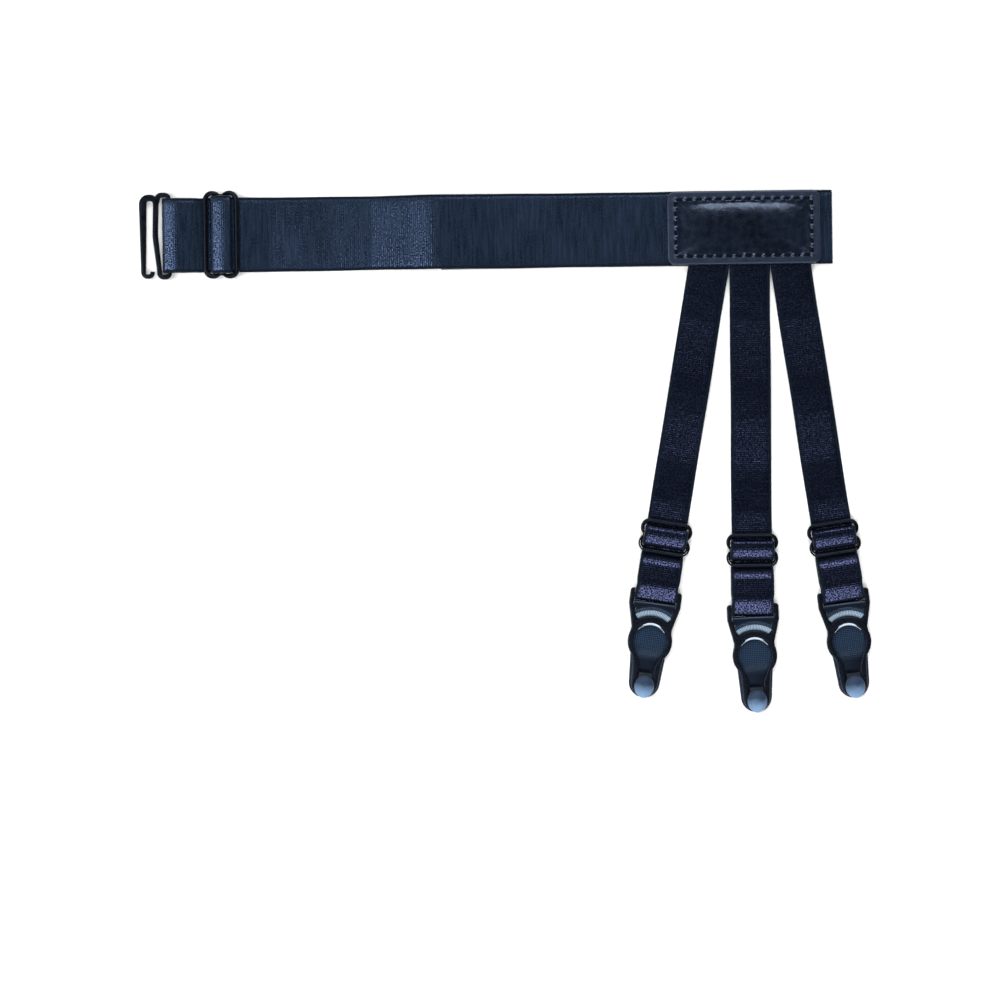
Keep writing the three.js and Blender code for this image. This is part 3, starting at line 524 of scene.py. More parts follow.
def tidy_shell(made, smooth_below=40, merge=0.000002):
    """Closes a piece's seams, turns its faces outwards and smooths it below an angle."""
    only_select(made)
    bpy.ops.object.mode_set(mode="EDIT")
    bpy.ops.mesh.select_all(action="SELECT")
    if merge:
        bpy.ops.mesh.remove_doubles(threshold=merge)
    bpy.ops.mesh.normals_make_consistent(inside=False)
    bpy.ops.object.mode_set(mode="OBJECT")
    bpy.ops.object.shade_smooth_by_angle(angle=math.radians(smooth_below))
    return made


def settle(made, place):
    """Puts a piece's place in its mesh."""
    made.data.transform(place @ made.matrix_basis)
    made.matrix_basis = Matrix.Identity(4)
    return made


def joined(name, *objects):
    only_select(*objects)
    if len(objects) > 1:
        bpy.ops.object.join()
    objects[0].name = name
    objects[0].data.name = name
    return objects[0]


def dressed(made, material, slot, *nodes):
    """Gives a piece its finish, hangs it from the root body and hides the CAD parts that it replaces."""
    made.data.materials.clear()
    made.data.materials.append(material)
    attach(made, "root")
    if nodes:
        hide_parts(*nodes)
    return made


def copy_of(source, name):
    twin = source.copy()
    twin.data = source.data.copy()
    twin.name = name
    bpy.context.scene.collection.objects.link(twin)
    return twin


def arc(x, y, radius, start, end, steps=24):
    """Points round part of a circle, by angles in degrees."""
    angles = [math.radians(start + (end - start) * i / steps) for i in range(steps + 1)]
    return [(x + radius * math.cos(a), y + radius * math.sin(a)) for a in angles]


def rounded_plate(name, outlines, thickness, rounding, height):
    """A flat plate in millimetres with rounded edges, its middle at a height. Later outlines are holes."""
    curve = bpy.data.curves.new(name, "CURVE")
    curve.dimensions = "2D"
    curve.fill_mode = "BOTH"
    curve.extrude = thickness / 2 - rounding
    curve.bevel_depth = rounding
    curve.bevel_resolution = 3
    curve.offset = -rounding
    for outline in outlines:
        spline = curve.splines.new("POLY")
        spline.points.add(len(outline) - 1)
        for point, (x, y) in zip(spline.points, outline):
            point.co = (x, y, 0, 1)
        spline.use_cyclic_u = True
    made = bpy.data.objects.new(name, curve)
    bpy.context.scene.collection.objects.link(made)
    only_select(made)
    bpy.ops.object.convert(target="MESH")
    made = bpy.context.object
    made.data.transform(Matrix.Translation((0, 0, height)))
    return tidy_shell(made, merge=0.002)


# Webbing


def layer(thickness, below):
    return thickness / 2 + below * (thickness + CLEARANCE)


def bar_reach(width, thickness, rounding):
    return max(
        math.hypot(width / 2, thickness / 2 - rounding), math.hypot(width / 2 - rounding, thickness / 2)
    )


def rounded_route(rows, degrees=5):
    """Points along straight stretches whose corners are rounded. A row is along, up and radius."""
    corners = [Vector(row[:2]) for row in rows]
    points = [corners[0]]
    for i in range(1, len(rows) - 1):
        corner, rounding = corners[i], rows[i][2] if len(rows[i]) > 2 else 0
        back = (corners[i - 1] - corner).normalized()
        ahead = (corners[i + 1] - corner).normalized()
        turn = math.pi - back.angle(ahead)
        if not rounding or turn < 1e-5:
            points.append(corner)
            continue
        run = rounding * math.tan(turn / 2)
        centre = corner + (back + ahead).normalized() * (rounding / math.cos(turn / 2))
        start, end = corner + back * run - centre, corner + ahead * run - centre
        side = math.copysign(1, start.x * end.y - start.y * end.x)
        steps = max(2, math.ceil(math.degrees(turn) / degrees))
        for n in range(steps + 1):
            points.append(centre + Matrix.Rotation(side * turn * n / steps, 2) @ start)
    return [*points, corners[-1]]


def even_stations(rows, step):
    """Lengths, points and crossing directions at even steps along a route."""
    path = np.array([tuple(p) for p in rounded_route(rows)])
    gone = np.concatenate([[0], np.cumsum(np.hypot(*np.diff(path, axis=0).T))])
    along = np.linspace(0, gone[-1], int(gone[-1] / step) + 1)
    places = np.stack([np.interp(along, gone, path[:, i]) for i in (0, 1)], 1)
    runs = np.gradient(places, axis=0)
    runs /= np.linalg.norm(runs, axis=1)[:, None]
    return along, places, np.stack([-runs[:, 1], runs[:, 0]], 1)


def slider_sizes(slider, thickness):
    wire, middle_bar = slider["wire"], slider["middle_bar"]
    hole_end = slider["pitch"] + slider["overlap"] - wire
    return {
        "hole_half": (hole_end - middle_bar / 2) / 2,
        "hole_at": (hole_end + middle_bar / 2) / 2,
        "outer_bar_at": hole_end + wire / 2,
        "height": layer(thickness, 1) + thickness / 2 + CLEARANCE + wire / 2,
        "wrap": bar_reach(middle_bar, wire, wire * 0.25) + TOUCH + thickness / 2,
    }


def adjuster_rows(slider, thickness, slider_at, end_at, end):
    """Webbing that goes through a slider, round an end bar and back to the slider's middle bar.

    It bulges over the slider, steep on the near side and shallow on the side of the end bar, where it shines.
    """
    sizes = slider_sizes(slider, thickness)
    under, floor = layer(thickness, 1), layer(thickness, 0)
    height, wrap = sizes["height"], sizes["wrap"]
    apex = height + wrap + 1.4 * thickness + TOUCH
    foot = sizes["hole_at"] + sizes["hole_half"] * 0.43
    crown = sizes["hole_at"] + sizes["hole_half"] * 0.22
    lead = sizes["outer_bar_at"] + slider["wire"]
    tight, soft, long = thickness, 2 * thickness, 8 * thickness
    return [
        (slider_at - lead, under, long),
        (slider_at - foot, under, tight),
        (slider_at - crown + 0.3, apex - 0.6, soft),
        (slider_at - 1.5, apex, 12),
        (slider_at + crown, apex - 1.5, soft),
        (slider_at + foot, under, tight),
        (slider_at + lead - 0.6, under, tight * 3),
        (slider_at + lead + 3.2, end["crest"] - 1.5, long),
        (end_at - end["crest_at"], end["crest"], 14),
        (end_at + end["loop"], end["brow"], end["radius"]),
        (end_at + end["loop"], floor, end["radius"]),
        (slider_at + sizes["hole_at"], floor, soft),
        (slider_at + wrap * 0.8, height - wrap, tight),
        (slider_at - wrap, height - wrap, wrap),
        (slider_at - wrap, height + wrap, wrap),
        (slider_at + wrap, height + wrap, wrap),
        (slider_at + wrap, height - wrap / 2),
    ]


def band_rows():
    fold, edge = (BAND_THICKNESS + CLEARANCE) / 2, BAND_THICKNESS / 2
    loop_start = BAND_LOOP_AT - BAND_LOOP_LENGTH
    levels = [layer(BAND_THICKNESS, below) for below in range(3)]
    return [
        (loop_start, levels[1]),
        (BAND_LOOP_AT - edge, levels[1], fold),
        (BAND_LOOP_AT - edge, levels[0], fold),
        (edge - BAND_FOLD_AT, levels[0], fold),
        (edge - BAND_FOLD_AT, levels[1], fold),
        (loop_start - BAND_CLIMB / 4, levels[1], BAND_CLIMB / 2),
        (loop_start - 2 * BAND_THICKNESS, levels[2] + 0.3, BAND_CLIMB / 2),
        (BAND_LOOP_AT + 2 * BAND_THICKNESS, levels[2] + 1.7, BAND_CLIMB),
        (BAND_LOOP_AT + BAND_CLIMB * 0.72, levels[0], 6 * BAND_CLIMB),
        (BAND_SLIDER_AT - BAND_CLIMB / 2, levels[0], BAND_CLIMB),
        *adjuster_rows(BAND_SLIDER, BAND_THICKNESS, BAND_SLIDER_AT, BAND_HOOK_AT, BAND_END),
    ]


def strap_rows(leg):
    root = layer(BAND_THICKNESS, 1) + BAND_THICKNESS / 2 + CLEARANCE + STRAP_THICKNESS / 2
    floor, slider_at = layer(STRAP_THICKNESS, 0), leg["slider_at"]
    return [
        (-STRAP_ROOT, root),
        (0, root, STRAP_LANDING / 2),
        (STRAP_LANDING * 1.6, floor + STRAP_BOW * 0.35, STRAP_LANDING * 2),
        (slider_at * 0.47, floor + STRAP_BOW * 1.35, slider_at),
        (slider_at * 0.72, floor, slider_at / 2),
        (slider_at * 0.86, floor, slider_at / 4),
        *adjuster_rows(STRAP_SLIDER, STRAP_THICKNESS, slider_at, leg["clip_at"], STRAP_END),
    ]


# Half of a webbing's section: how far in from its edge, the share of its half thickness, and the ribs' share
SECTION = [(0, 0, 0), (0.12, 0.62, 0), (0.4, 1, 0.2), (1, 1, 0.3), (1.25, 0.84, 0), (1.6, 1, 1), (3.5, 1, 1)]


def webbing(name, rows, thickness, half_widths, place, look):
    """A flat woven strip that follows a route, with its ribs and selvedges as relief."""
    pitch = look.rib_pitch / MM
    along, places, crossing = even_stations(rows, pitch / 5)
    low, high = half_widths(along, places[:, 0])
    over = [(inset, share, rib) for inset, share, rib in SECTION[1:]]
    ring = [("low", *SECTION[0])]
    ring += [("low", *row) for row in over] + [("high", *row) for row in reversed(over)]
    ring += [("high", *SECTION[0])]
    ring += [("high", inset, -share, rib) for inset, share, rib in over]
    ring += [("low", inset, -share, rib) for inset, share, rib in reversed(over)]
    ribs = look.rib_height / MM / 2 * np.cos(2 * math.pi * along / pitch)
    count = len(ring)
    points = np.zeros((len(along), count, 3))
    cloth = np.zeros((len(along), count, 2))
    edges = np.zeros((len(along), count))
    for n, (side, inset, share, rib) in enumerate(ring):
        reach = share * thickness / 2 + math.copysign(1, share) * rib * ribs
        y = inset - low if side == "low" else high - inset
        points[:, n, 0] = places[:, 0] + crossing[:, 0] * reach
        points[:, n, 1] = y
        points[:, n, 2] = np.maximum(places[:, 1] + crossing[:, 1] * reach, 0.01)
        cloth[:, n, 0], cloth[:, n, 1] = along, y
        edges[:, n] = 1 if inset < 1.3 else 0
    flat = points.reshape(-1, 3) @ np.array(place.to_3x3()).T + np.array(place.translation)
    starts = np.arange(len(along) - 1)[:, None] * count
    here = np.arange(count)[None, :]
    after = (here + 1) % count
    quads = np.stack([starts + here, starts + after, starts + count + after, starts + count + here], 2)
    faces = quads.reshape(-1, 4).tolist()
    last = (len(along) - 1) * count
    faces += [list(range(count)), list(range(last, last + count))]
    made = mesh_piece(name, flat.tolist(), faces)
    mesh = made.data
    mesh.attributes.new("selvedge", "FLOAT", "POINT").data.foreach_set("value", edges.ravel())
    corners = np.zeros(len(mesh.loops), int)
    mesh.loops.foreach_get("vertex_index", corners)
    uv = mesh.uv_layers.new(name="weave")
    uv.data.foreach_set("uv", cloth.reshape(-1, 2)[corners].ravel())
    tidy_shell(made, smooth_below=50, merge=0)
    return made, along[-1]


def band_half_widths(along, at):
    wave = 0.1 * np.sin(along / 19) + 0.06 * np.sin(along / 7.3)
    in_slider = np.clip(2.4 - np.abs(at - BAND_SLIDER_AT) / 3, 0, 1)
    half = BAND_WIDTH / 2 - 0.12 + wave + 0.75 * in_slider
    return half, half


def strap_half_widths(leg):
    """The straps' roots are cut on a slant to lie side by side. They are wider where they are doubled."""
    index = LEGS.index(leg)
    fans = []
    for side in (-1, 1):
        other = LEGS[index + side] if 0 <= index + side < len(LEGS) else None
        fans.append(abs(other["turn"] - leg["turn"]) / 2 if other else 0)

    def half_widths(along, at):
        start, end = leg["slider_at"] + 6, leg["clip_at"] - 6
        in_ears = np.clip((at - end) / 3, 0, 1)
        in_slider = np.clip(2.3 - np.abs(at - leg["slider_at"]) / 3, 0, 1)
        doubled = 0.5 * np.clip((at - start) / 4, 0, 1) * np.clip((end - at) / 4 + 0.4, 0, 1)
        wave = 0.05 * np.sin(along / 9 + index)
        half = STRAP_WIDTH / 2 - 0.1 + wave + np.maximum(doubled, 0.75 * in_slider) + 0.35 * in_ears
        sides = []
        for fan in fans:
            room = (STRAP_PITCH - CLEARANCE) / 2 + at * math.tan(math.radians(fan))
            sides.append(np.minimum(half, room) if fan > 0 else half)
        return sides

    return half_widths


def patch_inset(x, y):
    """How far a point of the patch is from its outline."""
    over_x = np.abs(x) - (PATCH_LENGTH / 2 - PATCH_CORNER)
    over_y = np.abs(y) - (PATCH_HEIGHT / 2 - PATCH_CORNER)
    outside = np.hypot(np.maximum(over_x, 0), np.maximum(over_y, 0))
    return PATCH_CORNER - outside - np.minimum(np.maximum(over_x, over_y), 0)


def smooth_step(value, low, high):
    t = np.clip((value - low) / (high - low), 0, 1)
    return t * t * (3 - 2 * t)


def patch_top(x, y):
    """The leather's height: a rounded edge, a flat border, a sewn channel and a pad that rolls off."""
    inset = patch_inset(x, y)
    edge = np.sqrt(np.clip(1 - (1 - np.clip(inset / 0.9, 0, 1)) ** 2, 0, 1))
    border = PATCH_BORDER_TOP - 0.7 * (1 - edge)
    # The leather is pulled down below each stitch and stands up between them
    flank = PATCH_LENGTH / 2 - np.abs(x) < PATCH_HEIGHT / 2 - np.abs(y)
    count_x = round((PATCH_LENGTH - 2 * STITCH_INSET) / STITCH_PITCH)
    count_y = round((PATCH_HEIGHT - 2 * STITCH_INSET) / STITCH_PITCH)
    phase_x = (x / (PATCH_LENGTH - 2 * STITCH_INSET) + 0.5) * count_x
    phase_y = (y / (PATCH_HEIGHT - 2 * STITCH_INSET) + 0.5) * count_y
    between = 0.5 + 0.5 * np.cos(2 * math.pi * np.where(flank, phase_y, phase_x))
    channel = (0.12 - 0.66 * between**4) * np.exp(-(((inset - STITCH_INSET) / 0.75) ** 2))
    half_x, half_y = PATCH_LENGTH / 2 - PAD_INSET, PATCH_HEIGHT / 2 - PAD_INSET

    def roll(distance, width, power):
        return 1 - np.clip(1 - distance / width, 0, 1) ** power

    crown = roll(half_y - y, 22, 3.9) * roll(half_y + y, 26, 1.1) * roll(half_x - np.abs(x), 16, 1.5)
    crown = np.where((np.abs(x) < half_x) & (np.abs(y) < half_y), crown, 0)
    return border - channel + PAD_CROWN * crown


def patch_underside(x, y):
    """The patch's lower side, raised over the roots of the straps."""
    reach = 1.5 * STRAP_PITCH + CLEARANCE + 0.8
    inside = smooth_step(reach - np.abs(x - STRAPS_OFF_CENTRE), 0, 1) * smooth_step(-y, 2, 3.5)
    return 2.85 + 1.3 * inside


def patch_mesh():
    """The patch as rings of points that follow its outline, above and below."""
    top_insets = [0.02, 0.1, 0.25, 0.45, 0.7, 0.95, 1.6, 2.4, 3.0, 3.4, 3.7, 3.95, 4.2, 4.45, 4.7, 4.95]
    top_insets += [5.15, 5.4, 5.7, 6.1, 6.6, 7.2, 7.9, 8.7, 9.6, 10.6, 11.8, 13.2, 14.6, 16, 17.3, 18.2]
    low_insets = [0, 0.4, 1.5, 3, 5, 7.5, 10, 12.5, 15, 17, 18.2]
    around = []
    for corner, (sx, sy) in enumerate([(1, 1), (-1, 1), (-1, -1), (1, -1)]):
        for n in range(9):
            angle = math.radians(90 * corner + 90 * n / 8)
            around.append((sx, sy, math.cos(angle), math.sin(angle), 0, corner))
        sides = 92 if corner % 2 == 0 else 38
        around += [(sx, sy, 0, 0, (n + 1) / (sides + 1), corner) for n in range(sides)]

    def ring(inset):
        radius = max(PATCH_CORNER - inset, 0.25)
        x, y = PATCH_LENGTH / 2 - inset - radius, PATCH_HEIGHT / 2 - inset - radius
        ends = {
            0: ((x, y + radius), (-x, y + radius)),
            1: ((-x - radius, y), (-x - radius, -y)),
            2: ((-x, -y - radius), (x, -y - radius)),
            3: ((x + radius, -y), (x + radius, y)),
        }
        points = []
        for sx, sy, cos, sin, share, corner in around:
            if share:
                (ax, ay), (bx, by) = ends[corner]
                points.append((ax + (bx - ax) * share, ay + (by - ay) * share))
            else:
                points.append((sx * x + radius * cos, sy * y + radius * sin))
        return points

    rings = [(ring(inset), patch_underside) for inset in reversed(low_insets)]
    rings += [(ring(inset), patch_top) for inset in top_insets]
    flat = np.array([points for points, _ in rings])
    heights = np.stack([height(p[:, 0], p[:, 1]) for (_, height), p in zip(rings, flat)])
    vertices = np.concatenate([flat, heights[:, :, None]], 2).reshape(-1, 3)
    count = len(around)
    faces = []
    for row in range(len(rings) - 1):
        for n in range(count):
            a, b = row * count + n, row * count + (n + 1) % count
            faces.append((a, b, b + count, a + count))
    faces += [list(range(count)), list(range((len(rings) - 1) * count, len(rings) * count))]
    made = mesh_piece("leather_patch", vertices.tolist(), faces)
    border = 1 - smooth_step(patch_inset(vertices[:, 0], vertices[:, 1]), 3.7, 4.3)
    made.data.attributes.new("border", "FLOAT", "POINT").data.foreach_set("value", border)
    return settle(made, PATCH_PLACE)


def puff(made, look):
    """Inflates the pad inside its stitches by a cloth simulation, which leaves the sewn border where it is."""
    mesh = made.data
    inverse = PATCH_PLACE.inverted()
    own = np.array([tuple(inverse @ v.co) for v in mesh.vertices])
    inset = patch_inset(own[:, 0], own[:, 1])
    free = (inset > PAD_INSET) & (own[:, 2] > PATCH_BORDER_TOP - 0.2)
    sewn = made.vertex_groups.new(name="sewn")
    for index in np.flatnonzero(~free).tolist():
        sewn.add([index], 1, "REPLACE")
    before = np.array([tuple(v.co) for v in mesh.vertices])
    only_select(made)
    cloth = made.modifiers.new("cloth", "CLOTH")
    cloth.settings.vertex_group_mass = "sewn"
    cloth.settings.quality = 4
    cloth.settings.mass = 0.3
    cloth.settings.tension_stiffness = 40
    cloth.settings.compression_stiffness = 40
    cloth.settings.bending_stiffness = 2
    cloth.settings.use_pressure = True
    cloth.settings.uniform_pressure_force = look.pad_pressure
    cloth.settings.effector_weights.gravity = 0
    scene = bpy.context.scene
    for step in range(1, PUFF_STEPS + 1):
        scene.frame_set(step)
    bpy.ops.object.modifier_apply(modifier="cloth")
    scene.frame_set(1)
    after = np.array([tuple(v.co) for v in mesh.vertices])
    moved = after - before
    length = np.linalg.norm(moved, axis=1)
    moved *= np.minimum(1, PUFF_CAP * MM / np.maximum(length, 1e-9))[:, None]
    mesh.vertices.foreach_set("co", (before + moved).ravel())
    mesh.update()
    made.vertex_groups.clear()


def stitch_places():
    """The middle and the direction of each stitch, round the pad."""
    half_x, half_y = PATCH_LENGTH / 2 - STITCH_INSET, PATCH_HEIGHT / 2 - STITCH_INSET
    corners = [(half_x, half_y), (-half_x, half_y), (-half_x, -half_y), (half_x, -half_y)]
    places = []
    for start, end in zip(corners, corners[1:] + corners[:1]):
        a, b = Vector(start), Vector(end)
        count = round((b - a).length / STITCH_PITCH)
        for n in range(count):
            middle = a.lerp(b, (n + 0.5) / count)
            places.append((middle, math.atan2((b - a).y, (b - a).x), (b - a).length / count))
    return places


def thread_stitch(length, width):
    """One stitch of thread, from a sphere drawn out in its middle and pushed down at its ends."""
    only_select(frame_anchor())
    bpy.ops.mesh.primitive_uv_sphere_add(segments=8, ring_count=6, radius=width / 2)
    stitch = bpy.context.object
    only_select(stitch)
    bpy.ops.object.mode_set(mode="EDIT")
    bpy.ops.mesh.select_all(action="SELECT")
    bpy.ops.transform.rotate(value=math.pi / 2, orient_axis="Y", center_override=(0, 0, 0))
    bpy.ops.object.mode_set(mode="OBJECT")
    for vertex in stitch.data.vertices:
        share = vertex.co.x / (width / 2)
        vertex.co.x += math.copysign(min(1, abs(share) * 2), share) * (length - width) / 2
        vertex.co.z -= 0.35 * width * share * share
    only_select(stitch)
    bpy.ops.object.shade_smooth()
    return stitch


def frame_anchor():
    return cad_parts["patch"]


# Hardware outlines in millimetres


def slider_outlines(slider, web_width):
    wire, pitch, overlap, bar = (slider[k] for k in ("wire", "pitch", "overlap", "middle_bar"))
    lobe = pitch / 2 + overlap
    half = web_width / 2 + SLIDER_SIDE_ROOM + wire
    end = half - lobe
    meet = math.degrees(math.asin(1 - SLIDER_NOTCH / lobe))
    outer = arc(pitch / 2, end, lobe, 0, 180 - meet)
    outer += arc(-pitch / 2, end, lobe, meet, 180)
    outer += arc(-pitch / 2, -end, lobe, 180, 360 - meet)
    outer += arc(pitch / 2, -end, lobe, 180 + meet, 360)
    wide, tight = pitch / 2 + overlap - wire, SLIDER_CORNER
    hole = arc(pitch / 2, half - wire - wide, wide, 0, 90, 12)
    hole += arc(bar / 2 + tight, half - wire - tight, tight, 90, 180, 8)
    hole += arc(bar / 2 + tight, wire + tight - half, tight, 180, 270, 8)
    hole += arc(pitch / 2, wire + wide - half, wide, 270, 360, 12)
    return [outer, hole, [(-x, y) for x, y in reversed(hole)]]


def slider_piece(name, slider, web_width, web_thickness, place):
    height = slider_sizes(slider, web_thickness)["height"]
    wire = slider["wire"]
    made = rounded_plate(name, slider_outlines(slider, web_width), wire, wire * 0.44, height)
    return settle(made, place)


def ribbon_outline(rows, widths):
    """The outline of a wire that follows a route. The widths are spread evenly along it."""
    points = np.array([tuple(p) for p in rounded_route(rows, 7.5)])
    gone = np.concatenate([[0], np.cumsum(np.hypot(*np.diff(points, axis=0).T))])
    width = np.interp(gone / gone[-1] * (len(widths) - 1), range(len(widths)), widths)
    runs = np.gradient(points, axis=0)
    runs /= np.linalg.norm(runs, axis=1)[:, None]
    sides = np.stack([-runs[:, 1], runs[:, 0]], 1) * width[:, None] / 2
    return [tuple(p) for p in points + sides] + [tuple(p) for p in (points - sides)[::-1]]


def hook_rows(rows):
    """Rows of reach, side, past and round, as in the hook's plan."""
    made = []
    for reach, side, past, *rounding in rows:
        up = side * (BAND_WIDTH / 2 + past * HOOK_END_ROOM)
        made.append((reach * HOOK_REACH, up, (rounding[0] if rounding else 0) * HOOK_REACH))
    return made


HOOK_OPEN_PART = [
    (0.656, 1, -0.45),
    (0.656, 1, 0.8, 0.145),
    (1, 1, 0.8, 0.145),
    (1, -1, 0.15, 0.23),
    (0.496, -1, 0.15, 0.23),
    (0.496, -1, -2),
]
HOOK_MIDDLE_BAR = [(0.492, -1, -1), (0.534, 0, 0, 3), (0.382, 1, -0.35)]
HOOK_LOOP = [
    (0.489, -1, -1.25),
    (0.397, -1, 0.8, 0.153),
    (0, -1, 0.8, 0.153),
    (0, 1, 1, 0.153),
    (0.378, 1, 1, 0.153),
    (0.382, 1, -0.75),
]


def frame_outlines():
    """The clip's frame: ears and a bar for the strap, a hinge bar, a window, and a keyhole for the button."""
    leg_top_at, leg_top_over = RING_AT + RING_RADIUS * 0.95, SLOT_WIDTH / 2 + LEG_WIDTH * 1.2
    leg_end, leg_reach = RING_AT + SLOT_LENGTH, SLOT_WIDTH / 2 + LEG_WIDTH
    inner, outer = FRAME_INNER, FRAME_OUTER
    edge = [(-FRAME_EARS, inner), (-FRAME_BAR / 2, inner), (-FRAME_BAR / 2, -inner), (-FRAME_EARS, -inner)]
    edge += arc(EAR_CORNER - FRAME_EARS, EAR_CORNER - outer, EAR_CORNER, 180, 270, 8)
    edge += [(SHOULDER_END, -outer), (NECK_AT, -NECK_WIDTH / 2)]
    edge += arc(RING_AT, 0, RING_RADIUS, -113, -45)
    edge += [(leg_top_at, -leg_top_over)]
    edge += arc(leg_end - LEG_SETBACK, 0, leg_reach, -90, 90)
    edge += [(leg_top_at, leg_top_over)]
    edge += arc(RING_AT, 0, RING_RADIUS, 45, 113)
    edge += [(NECK_AT, NECK_WIDTH / 2), (SHOULDER_END, outer)]
    edge += arc(EAR_CORNER - FRAME_EARS, outer - EAR_CORNER, EAR_CORNER, 90, 180, 8)
    slot_end = HINGE_AT - 0.9
    slot = [(1, -inner), (1, inner), (slot_end, inner), (slot_end, -inner)]
    side = math.degrees(math.asin(inner * 0.74 / ARCH_RADIUS))
    wide = inner - WINDOW_INSET
    window = [(HINGE_AT + 0.9, -wide), (HINGE_AT + 0.9, wide), (WINDOW_CORNER_AT, wide)]
    window += arc(RING_AT, 0, ARCH_RADIUS, 180 - side, 180 + side)
    window += [(WINDOW_CORNER_AT, -wide)]
    flare = math.radians(22)
    run = (KEYHOLE_RADIUS * math.cos(flare) - SLOT_WIDTH / 2) / math.sin(flare)
    throat = RING_AT + KEYHOLE_RADIUS * math.sin(flare) + run * math.cos(flare)
    keyhole = arc(RING_AT, 0, KEYHOLE_RADIUS, 68, 292, 48)
    keyhole += [(throat, -SLOT_WIDTH / 2)]
    keyhole += arc(leg_end, 0, SLOT_WIDTH / 2, -90, 90)
    keyhole += [(throat, SLOT_WIDTH / 2)]
    return [edge, slot, window, keyhole]


TONGUE_HALF = FRAME_INNER - WINDOW_INSET - CLEARANCE


def tongue_outline():
    tip = TONGUE_TIP_WIDTH / 2
    waist = (RING_AT + RING_RADIUS * 0.6, (tip + TONGUE_HALF) * 0.52)
    edge = [(TONGUE_CORNER_AT, -TONGUE_HALF), (NECK_AT, -TONGUE_HALF * 0.97), (waist[0], -waist[1])]
    edge += arc(BUTTON_AT - TIP_SETBACK, 0, tip, -90, 90)
    edge += [waist, (NECK_AT, TONGUE_HALF * 0.97), (TONGUE_CORNER_AT, TONGUE_HALF)]
    return [edge]


def toothed_height(radius, tooth):
    """The toothed crescent's height by its distance from the ring's centre."""
    down = (CRESCENT_BROW - radius) / (CRESCENT_BROW - CRESCENT_FOOT)
    return 4.1 - 0.95 * down - 1.2 * down**6 - 0.12 * tooth * min(1, down * 5)


def hinge_block():
    """The block round the hinge bar, dark on top, whose toothed crescent slopes down to the tongue and carries a
    painted highlight.
    """
    per_tooth, half_angle, columns = 6, 35, 23 * 6 + 1
    foot = CRESCENT_FOOT
    radii = [foot, foot + 0.15, foot + 0.5, foot + 1, foot + 1.7, foot + 2.5, CRESCENT_BROW - 0.3, CRESCENT_BROW]
    top, back = FRAME_HEIGHT + BARREL_RADIUS, 2.95
    # From the crescent's brow to the back: share of the way, height below the top, and how far the ends flare
    shelf = [(0.0, 1.0, 0), (0.02, 0.45, 0), (0.05, 0.12, 0), (0.12, 0, 0), (0.45, 0, 0), (0.5, 0, 0.6)]
    shelf += [(0.6, 0, 1), (0.88, 0.1, 1), (0.95, 0.35, 1), (1, 1, 1)]
    tops, painted_highlight = [], []
    for n in range(columns):
        angle = math.radians(180 - half_angle + 2 * half_angle * n / (columns - 1))
        tooth = 0.5 - 0.5 * math.cos(2 * math.pi * n / per_tooth)
        row = [
            (RING_AT + r * math.cos(angle), r * math.sin(angle), toothed_height(r, tooth)) for r in radii
        ]
        # A painted highlight down the crescent, palest on the ridge of each tooth and none on the shelf
        painted_highlight += [(1 - 0.9 * tooth) * (0, 0.2, 0.5, 0.8, 1, 1, 1, 0.6)[i] for i in range(len(radii))]
        painted_highlight += [0] * len(shelf)
        x, y, _ = row[-1]
        x += 0.1
        for share, below, flare in shelf:
            wide = 1 + flare * (10.5 / 9.12 - 1)
            row.append((x + (back - x) * share, y * wide, top - below))
        tops.append(row)
    depth = len(tops[0])
    points = [p for row in tops for p in row] + [(x, y, 0.7) for row in tops for x, y, _ in row]
    size = columns * depth
    faces = []
    for n in range(columns - 1):
        for i in range(depth - 1):
            a = n * depth + i
            faces.append((a, a + 1, a + depth + 1, a + depth))
            faces.append((size + a, size + a + depth, size + a + depth + 1, size + a + 1))
    border = [n * depth for n in range(columns)] + [(columns - 1) * depth + i for i in range(1, depth)]
    border += [n * depth + depth - 1 for n in range(columns - 2, -1, -1)] + list(range(depth - 2, 0, -1))
    for a, b in zip(border, border[1:] + border[:1]):
        faces.append((a, b, size + b, size + a))
    made = mesh_piece("hinge_block", points, faces)
    made.data.attributes.new("teeth_highlight", "FLOAT", "POINT").data.foreach_set("value", painted_highlight + [0] * size)
    return tidy_shell(made, 50, merge=0)


def keyhole_lip():
    """The polished lip on the arch over the keyhole, whose pale colour is a painted highlight."""
    section = [(8.3, 3.7), (8.45, 3.95), (9.2, 4.21), (9.35, 4.2), (9.45, 3.95), (8.7, 3.4)]
    steps, half_angle = 40, 52
    points, faces = [], []
    for n in range(steps + 1):
        share = 2 * n / steps - 1
        angle = math.radians(180 + half_angle * share)
        narrow, sink = 1 - 0.75 * share * share, 0.35 * share * share
        for r, z in section:
            reach = section[0][0] + (r - section[0][0]) * narrow
            points.append((RING_AT + reach * math.cos(angle), reach * math.sin(angle), z - sink))
    count = len(section)
    for n in range(steps):
        for i in range(count):
            a, b = n * count + i, n * count + (i + 1) % count
            faces.append((a, b, b + count, a + count))
    faces += [list(range(count)), list(range(steps * count, (steps + 1) * count))]
    made = mesh_piece("keyhole_lip", points, faces)
    made.data.attributes.new("lip_polish_and_highlight", "FLOAT", "POINT").data.foreach_set("value", [1] * len(points))
    return tidy_shell(made, 50, merge=0)


def tongue_piece():
    plate = rounded_plate("tongue_plate", tongue_outline(), TONGUE_THICKNESS, 0.35, TONGUE_THICKNESS / 2)
    # The plate has no painted highlight of the teeth
    plate.data.attributes.new("teeth_highlight", "FLOAT", "POINT")
    return joined("tongue", plate, hinge_block())


